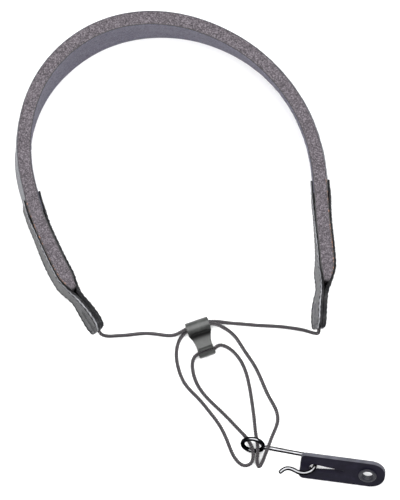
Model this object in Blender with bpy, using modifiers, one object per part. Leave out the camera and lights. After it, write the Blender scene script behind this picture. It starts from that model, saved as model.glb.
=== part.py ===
"""Padded neck strap with a slide adjuster, a wire hook and a rubber thumb-rest tab.

Metres, +Z up. The strap lies on the plane z = 0 with its pad standing on one long edge. The origin
is the middle of the pad's lower edge at the back of the neck, and the hook lies towards -Y.
"""

import math

import bmesh
import bpy
import numpy as np
from mathutils import Matrix, Vector

MM = 0.001
GAP = 0.3 * MM
WELD = 0.001 * MM
CUTTER_LENGTH = 30 * MM

# pad and leather end tabs
PAD_HEIGHT = 50 * MM
FOAM_HALF = 4.0 * MM
FOAM_HALF_IN_TABS = 4.1 * MM
FOAM_TIP_HALF = 0.25 * MM
SKIN = 0.35 * MM
SKIN_INSET = 0.3 * MM
LEATHER_AT_TONGUE = 2.3 * MM
LEATHER_OVER_PAD = 1.3 * MM
LEATHER_MARGIN = 1.0 * MM
TONGUE_HEIGHT = 28 * MM
TONGUE_CORNER = 8 * MM
STATION_STEP = 3 * MM

# distances from the end of a tab's tongue, measured along the strap
TONGUE_PINCH = 22 * MM
FOAM_TIP = 30 * MM
LEATHER_SPREAD = 41 * MM
WIDE_FROM = 24 * MM
WIDE_TO = 40 * MM
LEFT_OUTER_TAB = 94 * MM
LEFT_INNER_TAB = 97 * MM
RIGHT_TAB = 94 * MM
STEP_FROM = 72 * MM
SKIN_TIP = 84 * MM

# seams
THREAD_RADIUS = 0.35 * MM
SEAM_INSET = 2.6 * MM
SEAM_LENGTH = 88 * MM

# cord
CORD = 2.4 * MM
CORD_STEP = 2 * CORD
CHANNEL_GAP = 0.45 * MM
CHANNEL = CORD / 2 + CHANNEL_GAP
STUB = 18 * MM
CORD_SIDES_RESOLUTION = 2
# the two lengths cross inside the barrel, one above the other, and swap sides
CROSSING_RISE = 1.4 * MM
CROSSING_SIDE = 0.6 * MM

# slide adjuster, in its own frame: x along the barrel, y away from the hook, z up
SLIDER_AT = Vector((16.8, -194.2, 0)) * MM
SLIDER_TURN = math.radians(19)
BARREL_RADIUS = 4.35 * MM
BARREL_HALF = 7.65 * MM
BARREL_BORE = 3.2 * MM
CLIP_AT = 17.0 * MM
CLIP_RADIUS = 3.45 * MM
CLIP_BORE = 1.7 * MM
CLIP_HALF = 5.5 * MM
CLIP_SLIT = 1.2 * MM
NECK_LOW = 1.2 * MM
NECK_AT_BARREL = 3.0 * MM
NECK_AT_CLIP = 5.5 * MM
LIP_CORNER = 1.5 * MM
WAIST_HALF = 5.2 * MM
WAIST_AT = 13.5 * MM
WAIST_RADIUS = 18.0 * MM

# hook, one bent wire
WIRE = 2.8 * MM
WIRE_STEP = 1.6 * MM
EYE_AT = Vector((52.3, -271.3, 7.3)) * MM
EYE_RADIUS = 6.7 * MM
EYE_RISE = math.radians(60)
SHANK_TURN = math.radians(-10.9)
EYE_OPENING = math.radians(20)
EYE_LEAD_OUT = math.radians(20)
LEAD_OUT_RADIUS = 3.4 * MM

# rubber tab, in its own frame: x along it, y across it, z through it, origin at its left end
TAB_LENGTH = 55.2 * MM
TAB_WIDTH = 20.8 * MM
TAB_THICKNESS = 3.1 * MM
TAB_RISE = math.radians(50)
TAB_TURN = math.radians(-7.5)
TAB_CORNER = 3.0 * MM
TAB_END_RADIUS = 9.6 * MM
TAB_LEFT_END = Vector((82.8, -284.1, 0)) * MM
KEYHOLE_AT = 9.3 * MM
KEYHOLE_RADIUS = 3.4 * MM
SLOT_TO = 28.5 * MM
SLOT_WIDE = 5.8 * MM
SLOT_NARROW = 1.8 * MM
RING_AT = 43.9 * MM
RING_FLANGE = 5.8 * MM
RING_BODY = 4.4 * MM
RING_BORE = 3.4 * MM
RING_PROUD = 0.7 * MM

# The strap's middle line at half the pad's height, from the left tongue's end to the right one's:
# x, y and how far the top edge leans outwards over the whole height.
STRAP_ROUTE = [
    (-0.0470, -0.1990, -0.0113), (-0.0545, -0.1872, -0.0096), (-0.0637, -0.1741, -0.0034),
    (-0.0721, -0.1605, -0.0027), (-0.0794, -0.1452, -0.0025), (-0.0861, -0.1285, -0.0014),
    (-0.0918, -0.1110, -0.0025), (-0.0954, -0.0948, -0.0030), (-0.0959, -0.0802, -0.0026),
    (-0.0920, -0.0581, -0.0011), (-0.0826, -0.0379, 0.0005), (-0.0675, -0.0206, 0.0018),
    (-0.0489, -0.0082, 0.0020), (-0.0282, -0.0013, 0.0014), (-0.0059, 0.0003, 0.0002),
    (0.0148, -0.0028, -0.0014), (0.0345, -0.0100, -0.0027), (0.0521, -0.0204, -0.0035),
    (0.0670, -0.0337, -0.0040), (0.0792, -0.0496, -0.0037), (0.0881, -0.0675, -0.0030),
    (0.0935, -0.0862, -0.0022), (0.0962, -0.1100, -0.0015), (0.0976, -0.1320, -0.0010),
    (0.0989, -0.1520, 0.0006), (0.0979, -0.1674, 0.0037), (0.0954, -0.1808, 0.0075),
    (0.0947, -0.1978, 0.0080),
]

# The cord's routes outside the tabs and the slide adjuster.
LEFT_RUN = [
    (-0.0456, -0.2008, 0.0243), (-0.0430, -0.2018, 0.0203), (-0.0396, -0.2015, 0.0138),
    (-0.0358, -0.2006, 0.0072), (-0.0315, -0.1999, 0.0027), (-0.0266, -0.1993, 0.0012),
    (-0.0162, -0.1984, 0.0011), (-0.0051, -0.1996, 0.0011), (0.0015, -0.1996, 0.0022),
]
RIGHT_RUN = [
    (0.0945, -0.1999, 0.0244), (0.0930, -0.2004, 0.0212), (0.0896, -0.1990, 0.0150),
    (0.0857, -0.1972, 0.0085), (0.0810, -0.1957, 0.0033), (0.0757, -0.1947, 0.0012),
    (0.0561, -0.1932, 0.0011), (0.0428, -0.1921, 0.0011), (0.0345, -0.1914, 0.0018),
]
RIGHT_LOOP = [
    (0.0335, -0.1948, 0.0029), (0.0400, -0.1995, 0.0012), (0.0465, -0.2088, 0.0011),
    (0.0540, -0.2203, 0.0011), (0.0580, -0.2288, 0.0011), (0.0637, -0.2412, 0.0011),
    (0.0674, -0.2482, 0.0012), (0.0685, -0.2537, 0.0022), (0.0672, -0.2600, 0.0056),
    (0.0643, -0.2670, 0.0096), (0.0622, -0.2728, 0.0107), (0.0602, -0.2776, 0.0074),
    (0.0584, -0.2822, 0.0026), (0.0563, -0.2849, 0.0012), (0.0551, -0.2820, 0.0025),
    (0.0553, -0.2780, 0.0053), (0.0555, -0.2742, 0.0062), (0.0552, -0.2695, 0.0038),
    (0.0544, -0.2645, 0.0012), (0.0531, -0.2528, 0.0011), (0.0515, -0.2408, 0.0011),
    (0.0486, -0.2260, 0.0011), (0.0450, -0.2170, 0.0011), (0.0392, -0.2098, 0.0012),
    (0.0339, -0.2066, 0.0022), (0.0304, -0.2064, 0.0033),
]
LEFT_LOOP = [
    (0.0048, -0.2030, 0.0014), (0.0029, -0.2125, 0.0011), (0.0044, -0.2218, 0.0011),
    (0.0089, -0.2318, 0.0011), (0.0172, -0.2408, 0.0011), (0.0240, -0.2489, 0.0011),
    (0.0311, -0.2586, 0.0011), (0.0365, -0.2700, 0.0011), (0.0394, -0.2770, 0.0011),
    (0.0430, -0.2820, 0.0011), (0.0470, -0.2842, 0.0012), (0.0508, -0.2830, 0.0019),
    (0.0524, -0.2794, 0.0036), (0.0524, -0.2750, 0.0044), (0.0507, -0.2702, 0.0030),
    (0.0476, -0.2655, 0.0012), (0.0434, -0.2610, 0.0011), (0.0374, -0.2547, 0.0011),
    (0.0311, -0.2484, 0.0011), (0.0230, -0.2405, 0.0011), (0.0168, -0.2322, 0.0011),
    (0.0138, -0.2240, 0.0011), (0.0134, -0.2175, 0.0018), (0.0148, -0.2138, 0.0028),
]

# The hook's shank, bend, returning arm and out-turned tip, after the eye.
HOOK_ROUTE = [
    (0.0700, -0.2747, 0.0073), (0.0780, -0.2762, 0.0074), (0.0845, -0.2774, 0.0075),
    (0.0885, -0.2785, 0.0077), (0.0914, -0.2808, 0.0079), (0.0924, -0.2840, 0.0087),
    (0.0911, -0.2871, 0.0096), (0.0881, -0.2891, 0.0101), (0.0845, -0.2897, 0.0102),
    (0.0805, -0.2886, 0.0099), (0.0762, -0.2867, 0.0096), (0.0729, -0.2869, 0.0098),
    (0.0701, -0.2889, 0.0103),
]


def clear_scene():
    for old in list(bpy.data.objects):
        bpy.data.objects.remove(old, do_unlink=True)


def make_collection(name):
    made = bpy.data.collections.new(name)
    bpy.context.scene.collection.children.link(made)
    return made


clear_scene()
PARTS = make_collection("neck_strap")
CUTTERS = make_collection("cutters")


def paint(obj, colour, roughness, metallic=0.0):
    """Give the object a material of its own."""
    material = bpy.data.materials.new(obj.name)
    material.use_nodes = True
    shader = material.node_tree.nodes["Principled BSDF"]
    shader.inputs["Base Color"].default_value = (*colour, 1)
    shader.inputs["Roughness"].default_value = roughness
    shader.inputs["Metallic"].default_value = metallic
    obj.data.materials.append(material)


def to_mesh(obj):
    """Turn a curve object into a mesh object of the same name and place, with its caps welded."""
    bpy.context.view_layer.update()
    evaluated = obj.evaluated_get(bpy.context.evaluated_depsgraph_get())
    mesh = bpy.data.meshes.new_from_object(evaluated)
    shape = bmesh.new()
    shape.from_mesh(mesh)
    bmesh.ops.remove_doubles(shape, verts=shape.verts, dist=WELD)
    bmesh.ops.recalc_face_normals(shape, faces=shape.faces)
    shape.to_mesh(mesh)
    shape.free()
    name = obj.name
    place = obj.matrix_world.copy()
    home = obj.users_collection[0]
    bpy.data.objects.remove(obj, do_unlink=True)
    made = bpy.data.objects.new(name, mesh)
    made.matrix_world = place
    home.objects.link(made)
    return made


def hide_cutter(obj):
    obj.hide_render = True
    obj.display_type = "WIRE"
    return obj


def boolean(obj, other, operation):
    cut = obj.modifiers.new(operation.lower(), "BOOLEAN")
    cut.operation = operation
    cut.object = other


def smooth_curve(route, step):
    """Points about `step` apart on the natural cubic spline through the route's points."""
    route = np.array(route, float)
    chord = np.linalg.norm(np.diff(route[:, :3], axis=0), axis=1)
    last = len(route) - 1
    system = np.eye(last + 1)
    right = np.zeros_like(route)
    for i in range(1, last):
        system[i, i - 1 : i + 2] = chord[i - 1], 2 * (chord[i - 1] + chord[i]), chord[i]
        after = (route[i + 1] - route[i]) / chord[i]
        before = (route[i] - route[i - 1]) / chord[i - 1]
        right[i] = 6 * (after - before)
    second = np.linalg.solve(system, right)
    fine = []
    for i in range(last):
        for t in np.linspace(0, 1, 40, endpoint=False):
            s = 1 - t
            straight = s * route[i] + t * route[i + 1]
            bend = (s**3 - s) * second[i] + (t**3 - t) * second[i + 1]
            fine.append(straight + bend * chord[i] ** 2 / 6)
    fine = np.array(fine + [route[last]])
    along = np.linalg.norm(np.diff(fine[:, :3], axis=0), axis=1)
    along = np.concatenate([[0], np.cumsum(along)])
    even = np.linspace(0, along[-1], round(along[-1] / step) + 1)
    return np.stack([np.interp(even, along, fine[:, k]) for k in range(fine.shape[1])], 1)


def tube(name, points, radius, resolution, collection=PARTS):
    """A round wire along the points, with closed ends."""
    curve = bpy.data.curves.new(name, "CURVE")
    curve.dimensions = "3D"
    curve.bevel_depth = radius
    curve.bevel_resolution = resolution
    curve.use_fill_caps = True
    spline = curve.splines.new("POLY")
    spline.points.add(len(points) - 1)
    for point, place in zip(spline.points, points):
        point.co = (*place[:3], 1)
    spline.use_smooth = True
    made = bpy.data.objects.new(name, curve)
    collection.objects.link(made)
    return made


def outline_solid(name, outline, thickness, collection=PARTS):
    """A flat outline in the XY plane, extruded both ways to the thickness."""
    curve = bpy.data.curves.new(name, "CURVE")
    curve.dimensions = "2D"
    curve.fill_mode = "BOTH"
    curve.extrude = thickness / 2
    spline = curve.splines.new("POLY")
    spline.points.add(len(outline) - 1)
    for point, (x, y) in zip(spline.points, outline):
        point.co = (x, y, 0, 1)
    spline.use_cyclic_u = True
    made = bpy.data.objects.new(name, curve)
    collection.objects.link(made)
    return to_mesh(made)


def cylinder(name, radius, depth, collection, segments=32):
    shape = bmesh.new()
    bmesh.ops.create_cone(
        shape, cap_ends=True, segments=segments, radius1=radius, radius2=radius, depth=depth
    )
    mesh = bpy.data.meshes.new(name)
    shape.to_mesh(mesh)
    shape.free()
    made = bpy.data.objects.new(name, mesh)
    collection.objects.link(made)
    return made


def arc(centre_x, centre_y, radius, start, end, steps):
    """Points on an arc from one angle to another, in degrees, both ends included."""
    angles = np.radians(np.linspace(start, end, steps + 1))
    return [(centre_x + radius * math.cos(a), centre_y + radius * math.sin(a)) for a in angles]


def smoothstep(value, low, high):
    t = min(1, max(0, (value - low) / (high - low)))
    return t * t * (3 - 2 * t)


# ---- the strap's stations -----------------------------------------------------------------------


class Station:
    """A place along the strap: its middle, its outward direction, its lean and its distances."""

    def __init__(self, middle, outward, lean, from_left, from_right):
        self.middle = middle
        self.outward = outward
        self.lean = lean
        self.from_left = from_left
        self.from_right = from_right
        self.from_end = min(from_left, from_right)

    def point(self, offset, height):
        """A point at an offset from the strap's middle line and a height above the table."""
        lean = self.lean * (height / PAD_HEIGHT - 0.5)
        place = self.middle + self.outward * (offset + lean)
        return Vector((place.x, place.y, height))


def make_stations():
    route = [(x, y, 0, lean) for x, y, lean in STRAP_ROUTE]
    line = smooth_curve(route, STATION_STEP)
    length = 0.0
    distances = [0.0]
    for here, after in zip(line[:-1], line[1:]):
        length += float(np.linalg.norm(after[:3] - here[:3]))
        distances.append(length)
    stations = []
    for i, here in enumerate(line):
        ahead = line[min(i + 1, len(line) - 1)] - line[max(i - 1, 0)]
        along = Vector((ahead[0], ahead[1], 0)).normalized()
        outward = Vector((-along.y, along.x, 0))
        middle = Vector((here[0], here[1], 0))
        place = Station(middle, outward, float(here[3]), distances[i], length - distances[i])
        stations.append(place)
    return stations


def skin_room(station):
    """Room for a skin and its gap between foam and leather: none deep in the tabs."""
    return (SKIN + GAP) * smoothstep(station.from_end, STEP_FROM, SKIN_TIP)


def leather_offset(station):
    """From the strap's middle to a leather's inner face."""
    eased = smoothstep(station.from_end, STEP_FROM, SKIN_TIP)
    foam = FOAM_HALF_IN_TABS + (FOAM_HALF - FOAM_HALF_IN_TABS) * eased
    full = foam + GAP + skin_room(station)
    spread = smoothstep(station.from_end, TONGUE_PINCH, LEATHER_SPREAD)
    return GAP / 2 + (full - GAP / 2) * spread


def leather_thickness(station):
    """Full at the tongue, thinned over the pad."""
    thinned = smoothstep(station.from_end, TONGUE_PINCH, LEATHER_SPREAD)
    return LEATHER_AT_TONGUE + (LEATHER_OVER_PAD - LEATHER_AT_TONGUE) * thinned


def foam_half(station):
    return max(FOAM_TIP_HALF, leather_offset(station) - GAP - skin_room(station))


def tab_half_height(station):
    """Half the height of a leather tab: wide over the pad, narrow at the tongue, round-ended."""
    wide = PAD_HEIGHT / 2 - LEATHER_MARGIN
    tongue = TONGUE_HEIGHT / 2
    half = tongue + (wide - tongue) * smoothstep(station.from_end, WIDE_FROM, WIDE_TO)
    left = max(0, TONGUE_CORNER - station.from_end)
    return half - TONGUE_CORNER + math.sqrt(TONGUE_CORNER**2 - left**2)


def ribbon(name, stations, section):
    """A closed solid through one four-cornered section at each station."""
    shape = bmesh.new()
    rings = []
    for station in stations:
        near, far, low, high = section(station)
        corners = [(near, low), (far, low), (far, high), (near, high)]
        rings.append([shape.verts.new(station.point(*corner)) for corner in corners])
    for here, after in zip(rings[:-1], rings[1:]):
        for k in range(4):
            shape.faces.new((here[k], here[k - 1], after[k - 1], after[k]))
    shape.faces.new(rings[0])
    shape.faces.new(rings[-1])
    bmesh.ops.recalc_face_normals(shape, faces=shape.faces)
    mesh = bpy.data.meshes.new(name)
    shape.to_mesh(mesh)
    shape.free()
    made = bpy.data.objects.new(name, mesh)
    PARTS.objects.link(made)
    return made


# ---- pad ----------------------------------------------------------------------------------------


def make_pad(stations):
    foam_stations = [s for s in stations if s.from_end >= FOAM_TIP]
    skin_stations = [s for s in stations if s.from_end >= SKIN_TIP]

    def foam(station):
        half = foam_half(station)
        return -half, half, 0, PAD_HEIGHT

    def lining(station):
        face = foam_half(station) + GAP
        return -face - SKIN, -face, SKIN_INSET, PAD_HEIGHT - SKIN_INSET

    def cover(station):
        face = foam_half(station) + GAP
        return face, face + SKIN, SKIN_INSET, PAD_HEIGHT - SKIN_INSET

    paint(ribbon("pad_foam_core", foam_stations, foam), (0.18, 0.15, 0.16), 0.95)
    paint(ribbon("pad_inner_lining", skin_stations, lining), (0.14, 0.14, 0.18), 0.7)
    paint(ribbon("pad_outer_cover", skin_stations, cover), (0.3, 0.32, 0.34), 0.8)


# ---- leather end tabs ---------------------------------------------------------------------------


def leather_section(side):
    def section(station):
        face = leather_offset(station)
        half = tab_half_height(station)
        near, far = sorted((side * face, side * (face + leather_thickness(station))))
        return near, far, PAD_HEIGHT / 2 - half, PAD_HEIGHT / 2 + half

    return section


def stub_points(stations):
    """The cord's way between a tongue's two leathers, from its inner end to the tongue's end."""
    inside = [s for s in stations if s.from_end <= STUB]
    inside.sort(key=lambda s: -s.from_end)
    return [s.point(0, PAD_HEIGHT / 2) for s in inside]


def make_leather(name, stations, length, side, channel):
    tab = ribbon(name, [s for s in stations if s.from_end <= length], leather_section(side))
    boolean(tab, channel, "DIFFERENCE")
    paint(tab, (0.045, 0.048, 0.05), 0.6)


def make_channel(name, stations):
    """A cutter for the cord's channel, running out past the tongue's end."""
    points = stub_points(stations)
    out = points[-1] + (points[-1] - points[-2]) * 2
    return hide_cutter(to_mesh(tube(name, points + [out], CHANNEL, 4, CUTTERS)))


def make_seam(name, stations, side):
    """A thread along the tab's outline on one face: up one side, round the end and back."""
    line = [s for s in stations if s.from_end <= SEAM_LENGTH]
    line.sort(key=lambda s: -s.from_end)

    def spot(station, sign):
        face = leather_offset(station) + leather_thickness(station)
        offset = side * (face + GAP + THREAD_RADIUS)
        reach = sign * (tab_half_height(station) - SEAM_INSET)
        return station.point(offset, PAD_HEIGHT / 2 + reach)

    kept = [s for s in line if s.from_end >= SEAM_INSET]
    points = [spot(s, 1) for s in kept] + [spot(s, -1) for s in reversed(kept)]
    seam = tube(name, points, THREAD_RADIUS, 1)
    paint(seam, (0.02, 0.02, 0.022), 0.7)


def make_tabs(stations):
    halfway = stations[-1].from_left / 2
    left = [s for s in stations if s.from_left < halfway]
    right = [s for s in stations if s.from_left > halfway]
    left_channel = make_channel("left_channel", left)
    right_channel = make_channel("right_channel", right)
    make_leather("left_tab_outer_leather", left, LEFT_OUTER_TAB, 1, left_channel)
    make_leather("left_tab_inner_leather", left, LEFT_INNER_TAB, -1, left_channel)
    make_leather("right_tab_outer_leather", right, RIGHT_TAB, 1, right_channel)
    make_leather("right_tab_inner_leather", right, RIGHT_TAB, -1, right_channel)
    make_seam("left_tab_outer_seam", left, 1)
    make_seam("left_tab_inner_seam", left, -1)
    make_seam("right_tab_outer_seam", right, 1)
    make_seam("right_tab_inner_seam", right, -1)
    return stub_points(left), stub_points(right)


# ---- slide adjuster -----------------------------------------------------------------------------


def slider_place(x, y, z):
    """A point of the slide adjuster's own frame, in the strap's frame."""
    return SLIDER_AT + Matrix.Rotation(SLIDER_TURN, 3, "Z") @ Vector((x, y, z))


def slider_profile():
    """The adjuster's side view: barrel, neck and C-shaped clip as one outline, hook end at +x."""
    centre = CLIP_RADIUS
    slit = math.degrees(math.asin(CLIP_SLIT / 2 / CLIP_RADIUS))
    inner_slit = math.degrees(math.asin(CLIP_SLIT / 2 / CLIP_BORE))
    barrel_low = math.degrees(math.asin((NECK_LOW - BARREL_RADIUS) / BARREL_RADIUS))
    barrel_high = math.degrees(math.asin((NECK_AT_BARREL - BARREL_RADIUS) / BARREL_RADIUS))
    clip_low = -180 - math.degrees(math.asin((NECK_LOW - centre) / CLIP_RADIUS))
    clip_high = 180 - math.degrees(math.asin((NECK_AT_CLIP - centre) / CLIP_RADIUS))
    barrel = arc(0, BARREL_RADIUS, BARREL_RADIUS, barrel_high, barrel_low + 360, 28)
    under = arc(CLIP_AT, centre, CLIP_RADIUS, clip_low + 360, 450 - slit, 24)
    bore = arc(CLIP_AT, centre, CLIP_BORE, 90 - inner_slit, -270 + inner_slit, 20)
    over = arc(CLIP_AT, centre, CLIP_RADIUS, 90 + slit, clip_high, 5)
    return barrel + under + bore + over


def slider_plan():
    """The adjuster's top view: a full-width barrel, a concave waist and a narrower clip."""
    side = [(BARREL_HALF, BARREL_RADIUS + GAP), (BARREL_HALF, -BARREL_RADIUS)]
    centre = WAIST_HALF + WAIST_RADIUS
    reach = math.degrees(math.acos((centre - CLIP_HALF) / WAIST_RADIUS))
    start = math.degrees(math.acos((centre - BARREL_HALF + GAP) / WAIST_RADIUS))
    side += arc(centre, -WAIST_AT, WAIST_RADIUS, 180 - start, 180 + reach, 12)
    lip = CLIP_AT + CLIP_RADIUS + GAP - LIP_CORNER
    side += arc(CLIP_HALF - LIP_CORNER, -lip, LIP_CORNER, 0, -90, 6)
    return side + [(-x, y) for x, y in reversed(side)]


def make_slider():
    body = outline_solid("slide_adjuster", slider_profile(), 2 * BARREL_HALF + 2 * MM)
    # the profile's x runs towards the hook, its y is up, and it is extruded along the barrel
    turn = Matrix(((0, 0, -1, 0), (-1, 0, 0, 0), (0, 1, 0, 0), (0, 0, 0, 1)))
    place = Matrix.Translation(SLIDER_AT) @ Matrix.Rotation(SLIDER_TURN, 4, "Z")
    body.matrix_world = place @ turn
    plan = hide_cutter(outline_solid("slider_plan", slider_plan(), CUTTER_LENGTH, CUTTERS))
    plan.matrix_world = place
    bore = hide_cutter(cylinder("slider_bore", BARREL_BORE, CUTTER_LENGTH, CUTTERS))
    bore.matrix_world = (
        place @ Matrix.Translation((0, 0, BARREL_RADIUS)) @ Matrix.Rotation(math.pi / 2, 4, "Y")
    )
    boolean(body, plan, "INTERSECT")
    boolean(body, bore, "DIFFERENCE")
    paint(body, (0.09, 0.095, 0.085), 0.45)


# ---- cord ---------------------------------------------------------------------------------------

def run_end(side, rise):
    """The way into the barrel from the mouth on one side, -1 or 1, to its middle."""
    height = BARREL_RADIUS + rise
    mouth = slider_place(side * BARREL_HALF, CROSSING_SIDE, height)
    middle = slider_place(side * GAP / 2, 0, height)
    return [mouth, middle]


def loop_start(side, rise):
    """The way out of the barrel from its middle to the mouth on that side."""
    height = BARREL_RADIUS + rise
    middle = slider_place(side * GAP / 2, 0, height)
    mouth = slider_place(side * BARREL_HALF, -CROSSING_SIDE, height)
    return [middle, mouth]


def clip_end(side):
    """The way into the clip from its end on that side to its middle."""
    mouth = slider_place(side * CLIP_HALF, -CLIP_AT, CLIP_RADIUS)
    middle = slider_place(side * GAP / 2, -CLIP_AT, CLIP_RADIUS)
    return [mouth, middle]


def make_cord(name, route):
    points = smooth_curve(route, CORD_STEP)
    points[:, 2] = np.maximum(points[:, 2], CORD / 2)
    cord = tube(name, points, CORD / 2, CORD_SIDES_RESOLUTION)
    paint(cord, (0.06, 0.055, 0.06), 0.85)


def make_cords(left_stub, right_stub):
    left = [tuple(p) for p in left_stub]
    right = [tuple(p) for p in right_stub]
    make_cord("cord_left_run", left + LEFT_RUN + run_end(-1, CROSSING_RISE))
    make_cord("cord_right_run", right + RIGHT_RUN + run_end(1, -CROSSING_RISE))
    make_cord("cord_right_loop", loop_start(1, CROSSING_RISE) + RIGHT_LOOP + clip_end(1))
    make_cord("cord_left_loop", loop_start(-1, -CROSSING_RISE) + LEFT_LOOP + clip_end(-1))


# ---- hook ---------------------------------------------------------------------------------------


def eye_point(along, across):
    """A point of the eye's plane: along the shank, and across it, rising away from the front."""
    shank = Vector((math.cos(SHANK_TURN), math.sin(SHANK_TURN), 0))
    level = Vector((-shank.y, shank.x, 0))
    rise = level * math.cos(EYE_RISE) + Vector((0, 0, math.sin(EYE_RISE)))
    return EYE_AT + shank * along + rise * across


def make_hook():
    end = 2 * math.pi - EYE_LEAD_OUT
    points = []
    for a in np.linspace(EYE_OPENING, end, 26):
        points.append(eye_point(EYE_RADIUS * math.cos(a), EYE_RADIUS * math.sin(a)))
    heading = math.pi / 2 - EYE_LEAD_OUT
    along = EYE_RADIUS * math.cos(end) + LEAD_OUT_RADIUS * math.sin(heading)
    for h in np.linspace(heading, 0, 6)[1:]:
        step = along - LEAD_OUT_RADIUS * math.sin(h)
        across = -LEAD_OUT_RADIUS * (1 - math.cos(h))
        points.append(eye_point(step, across))
    shank = smooth_curve([tuple(points[-1])] + HOOK_ROUTE, WIRE_STEP)
    points += [Vector(p[:3]) for p in shank[1:]]
    hook = tube("hook_wire", points, WIRE / 2, 3)
    paint(hook, (0.55, 0.56, 0.58), 0.12, 1.0)


# ---- rubber tab ---------------------------------------------------------------------------------


def tab_place():
    """The rubber tab's frame: lying on its lower long edge, its far long edge raised."""
    low = TAB_WIDTH / 2 * math.sin(TAB_RISE) + TAB_THICKNESS / 2 * math.cos(TAB_RISE)
    at = TAB_LEFT_END + Vector((0, 0, low))
    turn = Matrix.Rotation(TAB_TURN, 4, "Z") @ Matrix.Rotation(TAB_RISE, 4, "X")
    return Matrix.Translation(at) @ turn


def tab_outline():
    """A straight strip with two small corners at the left and a round right end."""
    half = TAB_WIDTH / 2
    corner = TAB_CORNER
    end = TAB_END_RADIUS
    outline = arc(corner, half - corner, corner, 180, 90, 6)
    outline += arc(TAB_LENGTH - end, half - end, end, 90, 0, 12)
    outline += arc(TAB_LENGTH - end, end - half, end, 0, -90, 12)
    outline += arc(corner, corner - half, corner, -90, -180, 6)
    return outline


def slot_outline():
    """A keyhole for the hook's wire that runs out into a tapering slot."""
    end = SLOT_NARROW / 2
    rim = math.degrees(math.asin(SLOT_WIDE / 2 / KEYHOLE_RADIUS))
    outline = arc(KEYHOLE_AT, 0, KEYHOLE_RADIUS, rim, 360 - rim, 20)
    return outline + arc(SLOT_TO - end, 0, end, -90, 90, 10)


def make_tab():
    place = tab_place()
    tab = outline_solid("thumb_tab", tab_outline(), TAB_THICKNESS)
    slot = hide_cutter(outline_solid("tab_slot", slot_outline(), CUTTER_LENGTH, CUTTERS))
    hole = hide_cutter(cylinder("tab_hole", RING_BODY + GAP, CUTTER_LENGTH, CUTTERS))
    tab.matrix_world = place
    slot.matrix_world = place
    hole.matrix_world = place @ Matrix.Translation((RING_AT, 0, 0))
    boolean(tab, slot, "DIFFERENCE")
    boolean(tab, hole, "DIFFERENCE")
    paint(tab, (0.03, 0.028, 0.04), 0.5)


def make_ring():
    """The insert in the tab's hole: a flanged sleeve, turned about the hole's axis."""
    face = TAB_THICKNESS / 2
    profile = [
        (RING_BODY, face + GAP), (RING_BODY, -face), (RING_BORE, -face),
        (RING_BORE, face + GAP + RING_PROUD), (RING_FLANGE, face + GAP + RING_PROUD),
        (RING_FLANGE, face + GAP),
    ]
    mesh = bpy.data.meshes.new("thumb_tab_ring")
    edges = [(i, (i + 1) % len(profile)) for i in range(len(profile))]
    mesh.from_pydata([(x, 0, z) for x, z in profile], edges, [])
    ring = bpy.data.objects.new("thumb_tab_ring", mesh)
    PARTS.objects.link(ring)
    turn = ring.modifiers.new("turn", "SCREW")
    turn.steps = 32
    turn.render_steps = 32
    turn.use_merge_vertices = True
    turn.merge_threshold = 0.00001
    ring.matrix_world = tab_place() @ Matrix.Translation((RING_AT, 0, 0))
    paint(ring, (0.08, 0.08, 0.085), 0.35)


def main():
    stations = make_stations()
    make_pad(stations)
    left_stub, right_stub = make_tabs(stations)
    make_slider()
    make_cords(left_stub, right_stub)
    make_hook()
    make_tab()
    make_ring()


main()
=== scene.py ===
"""The looks of a padded neck strap with a slide adjuster, a wire hook and a rubber thumb-rest tab.

Everything is in metres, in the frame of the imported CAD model: the strap lies on the plane z = 0,
its pad stands on one long edge, and the hook lies towards -Y.
"""

import math

import bpy
import numpy as np
from mathutils import Matrix, Vector, noise


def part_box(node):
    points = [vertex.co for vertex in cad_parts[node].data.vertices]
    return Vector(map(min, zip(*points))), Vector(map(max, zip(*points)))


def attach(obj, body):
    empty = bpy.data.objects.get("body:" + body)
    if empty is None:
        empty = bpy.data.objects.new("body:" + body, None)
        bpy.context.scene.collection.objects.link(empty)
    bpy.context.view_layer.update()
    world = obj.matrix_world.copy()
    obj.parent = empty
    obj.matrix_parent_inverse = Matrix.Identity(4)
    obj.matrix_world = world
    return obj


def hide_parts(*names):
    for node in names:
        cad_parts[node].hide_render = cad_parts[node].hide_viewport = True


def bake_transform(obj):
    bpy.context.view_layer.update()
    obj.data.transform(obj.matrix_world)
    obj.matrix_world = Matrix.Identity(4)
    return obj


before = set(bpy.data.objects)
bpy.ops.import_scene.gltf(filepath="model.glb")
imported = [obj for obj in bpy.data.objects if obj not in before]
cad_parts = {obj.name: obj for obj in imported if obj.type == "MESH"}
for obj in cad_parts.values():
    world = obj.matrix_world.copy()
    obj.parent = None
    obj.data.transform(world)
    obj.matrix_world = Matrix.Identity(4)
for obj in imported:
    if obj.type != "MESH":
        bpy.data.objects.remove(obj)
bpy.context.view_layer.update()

MM = 0.001

# camera and studio
CAMERA_TILT = math.radians(6.5)
CAMERA_DISTANCE = 3.0
CAMERA_AIM = Vector((18.2, -143.9, 0)) * MM
VIEW_HEIGHT = 325 * MM
SENSOR_MM = 36

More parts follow.
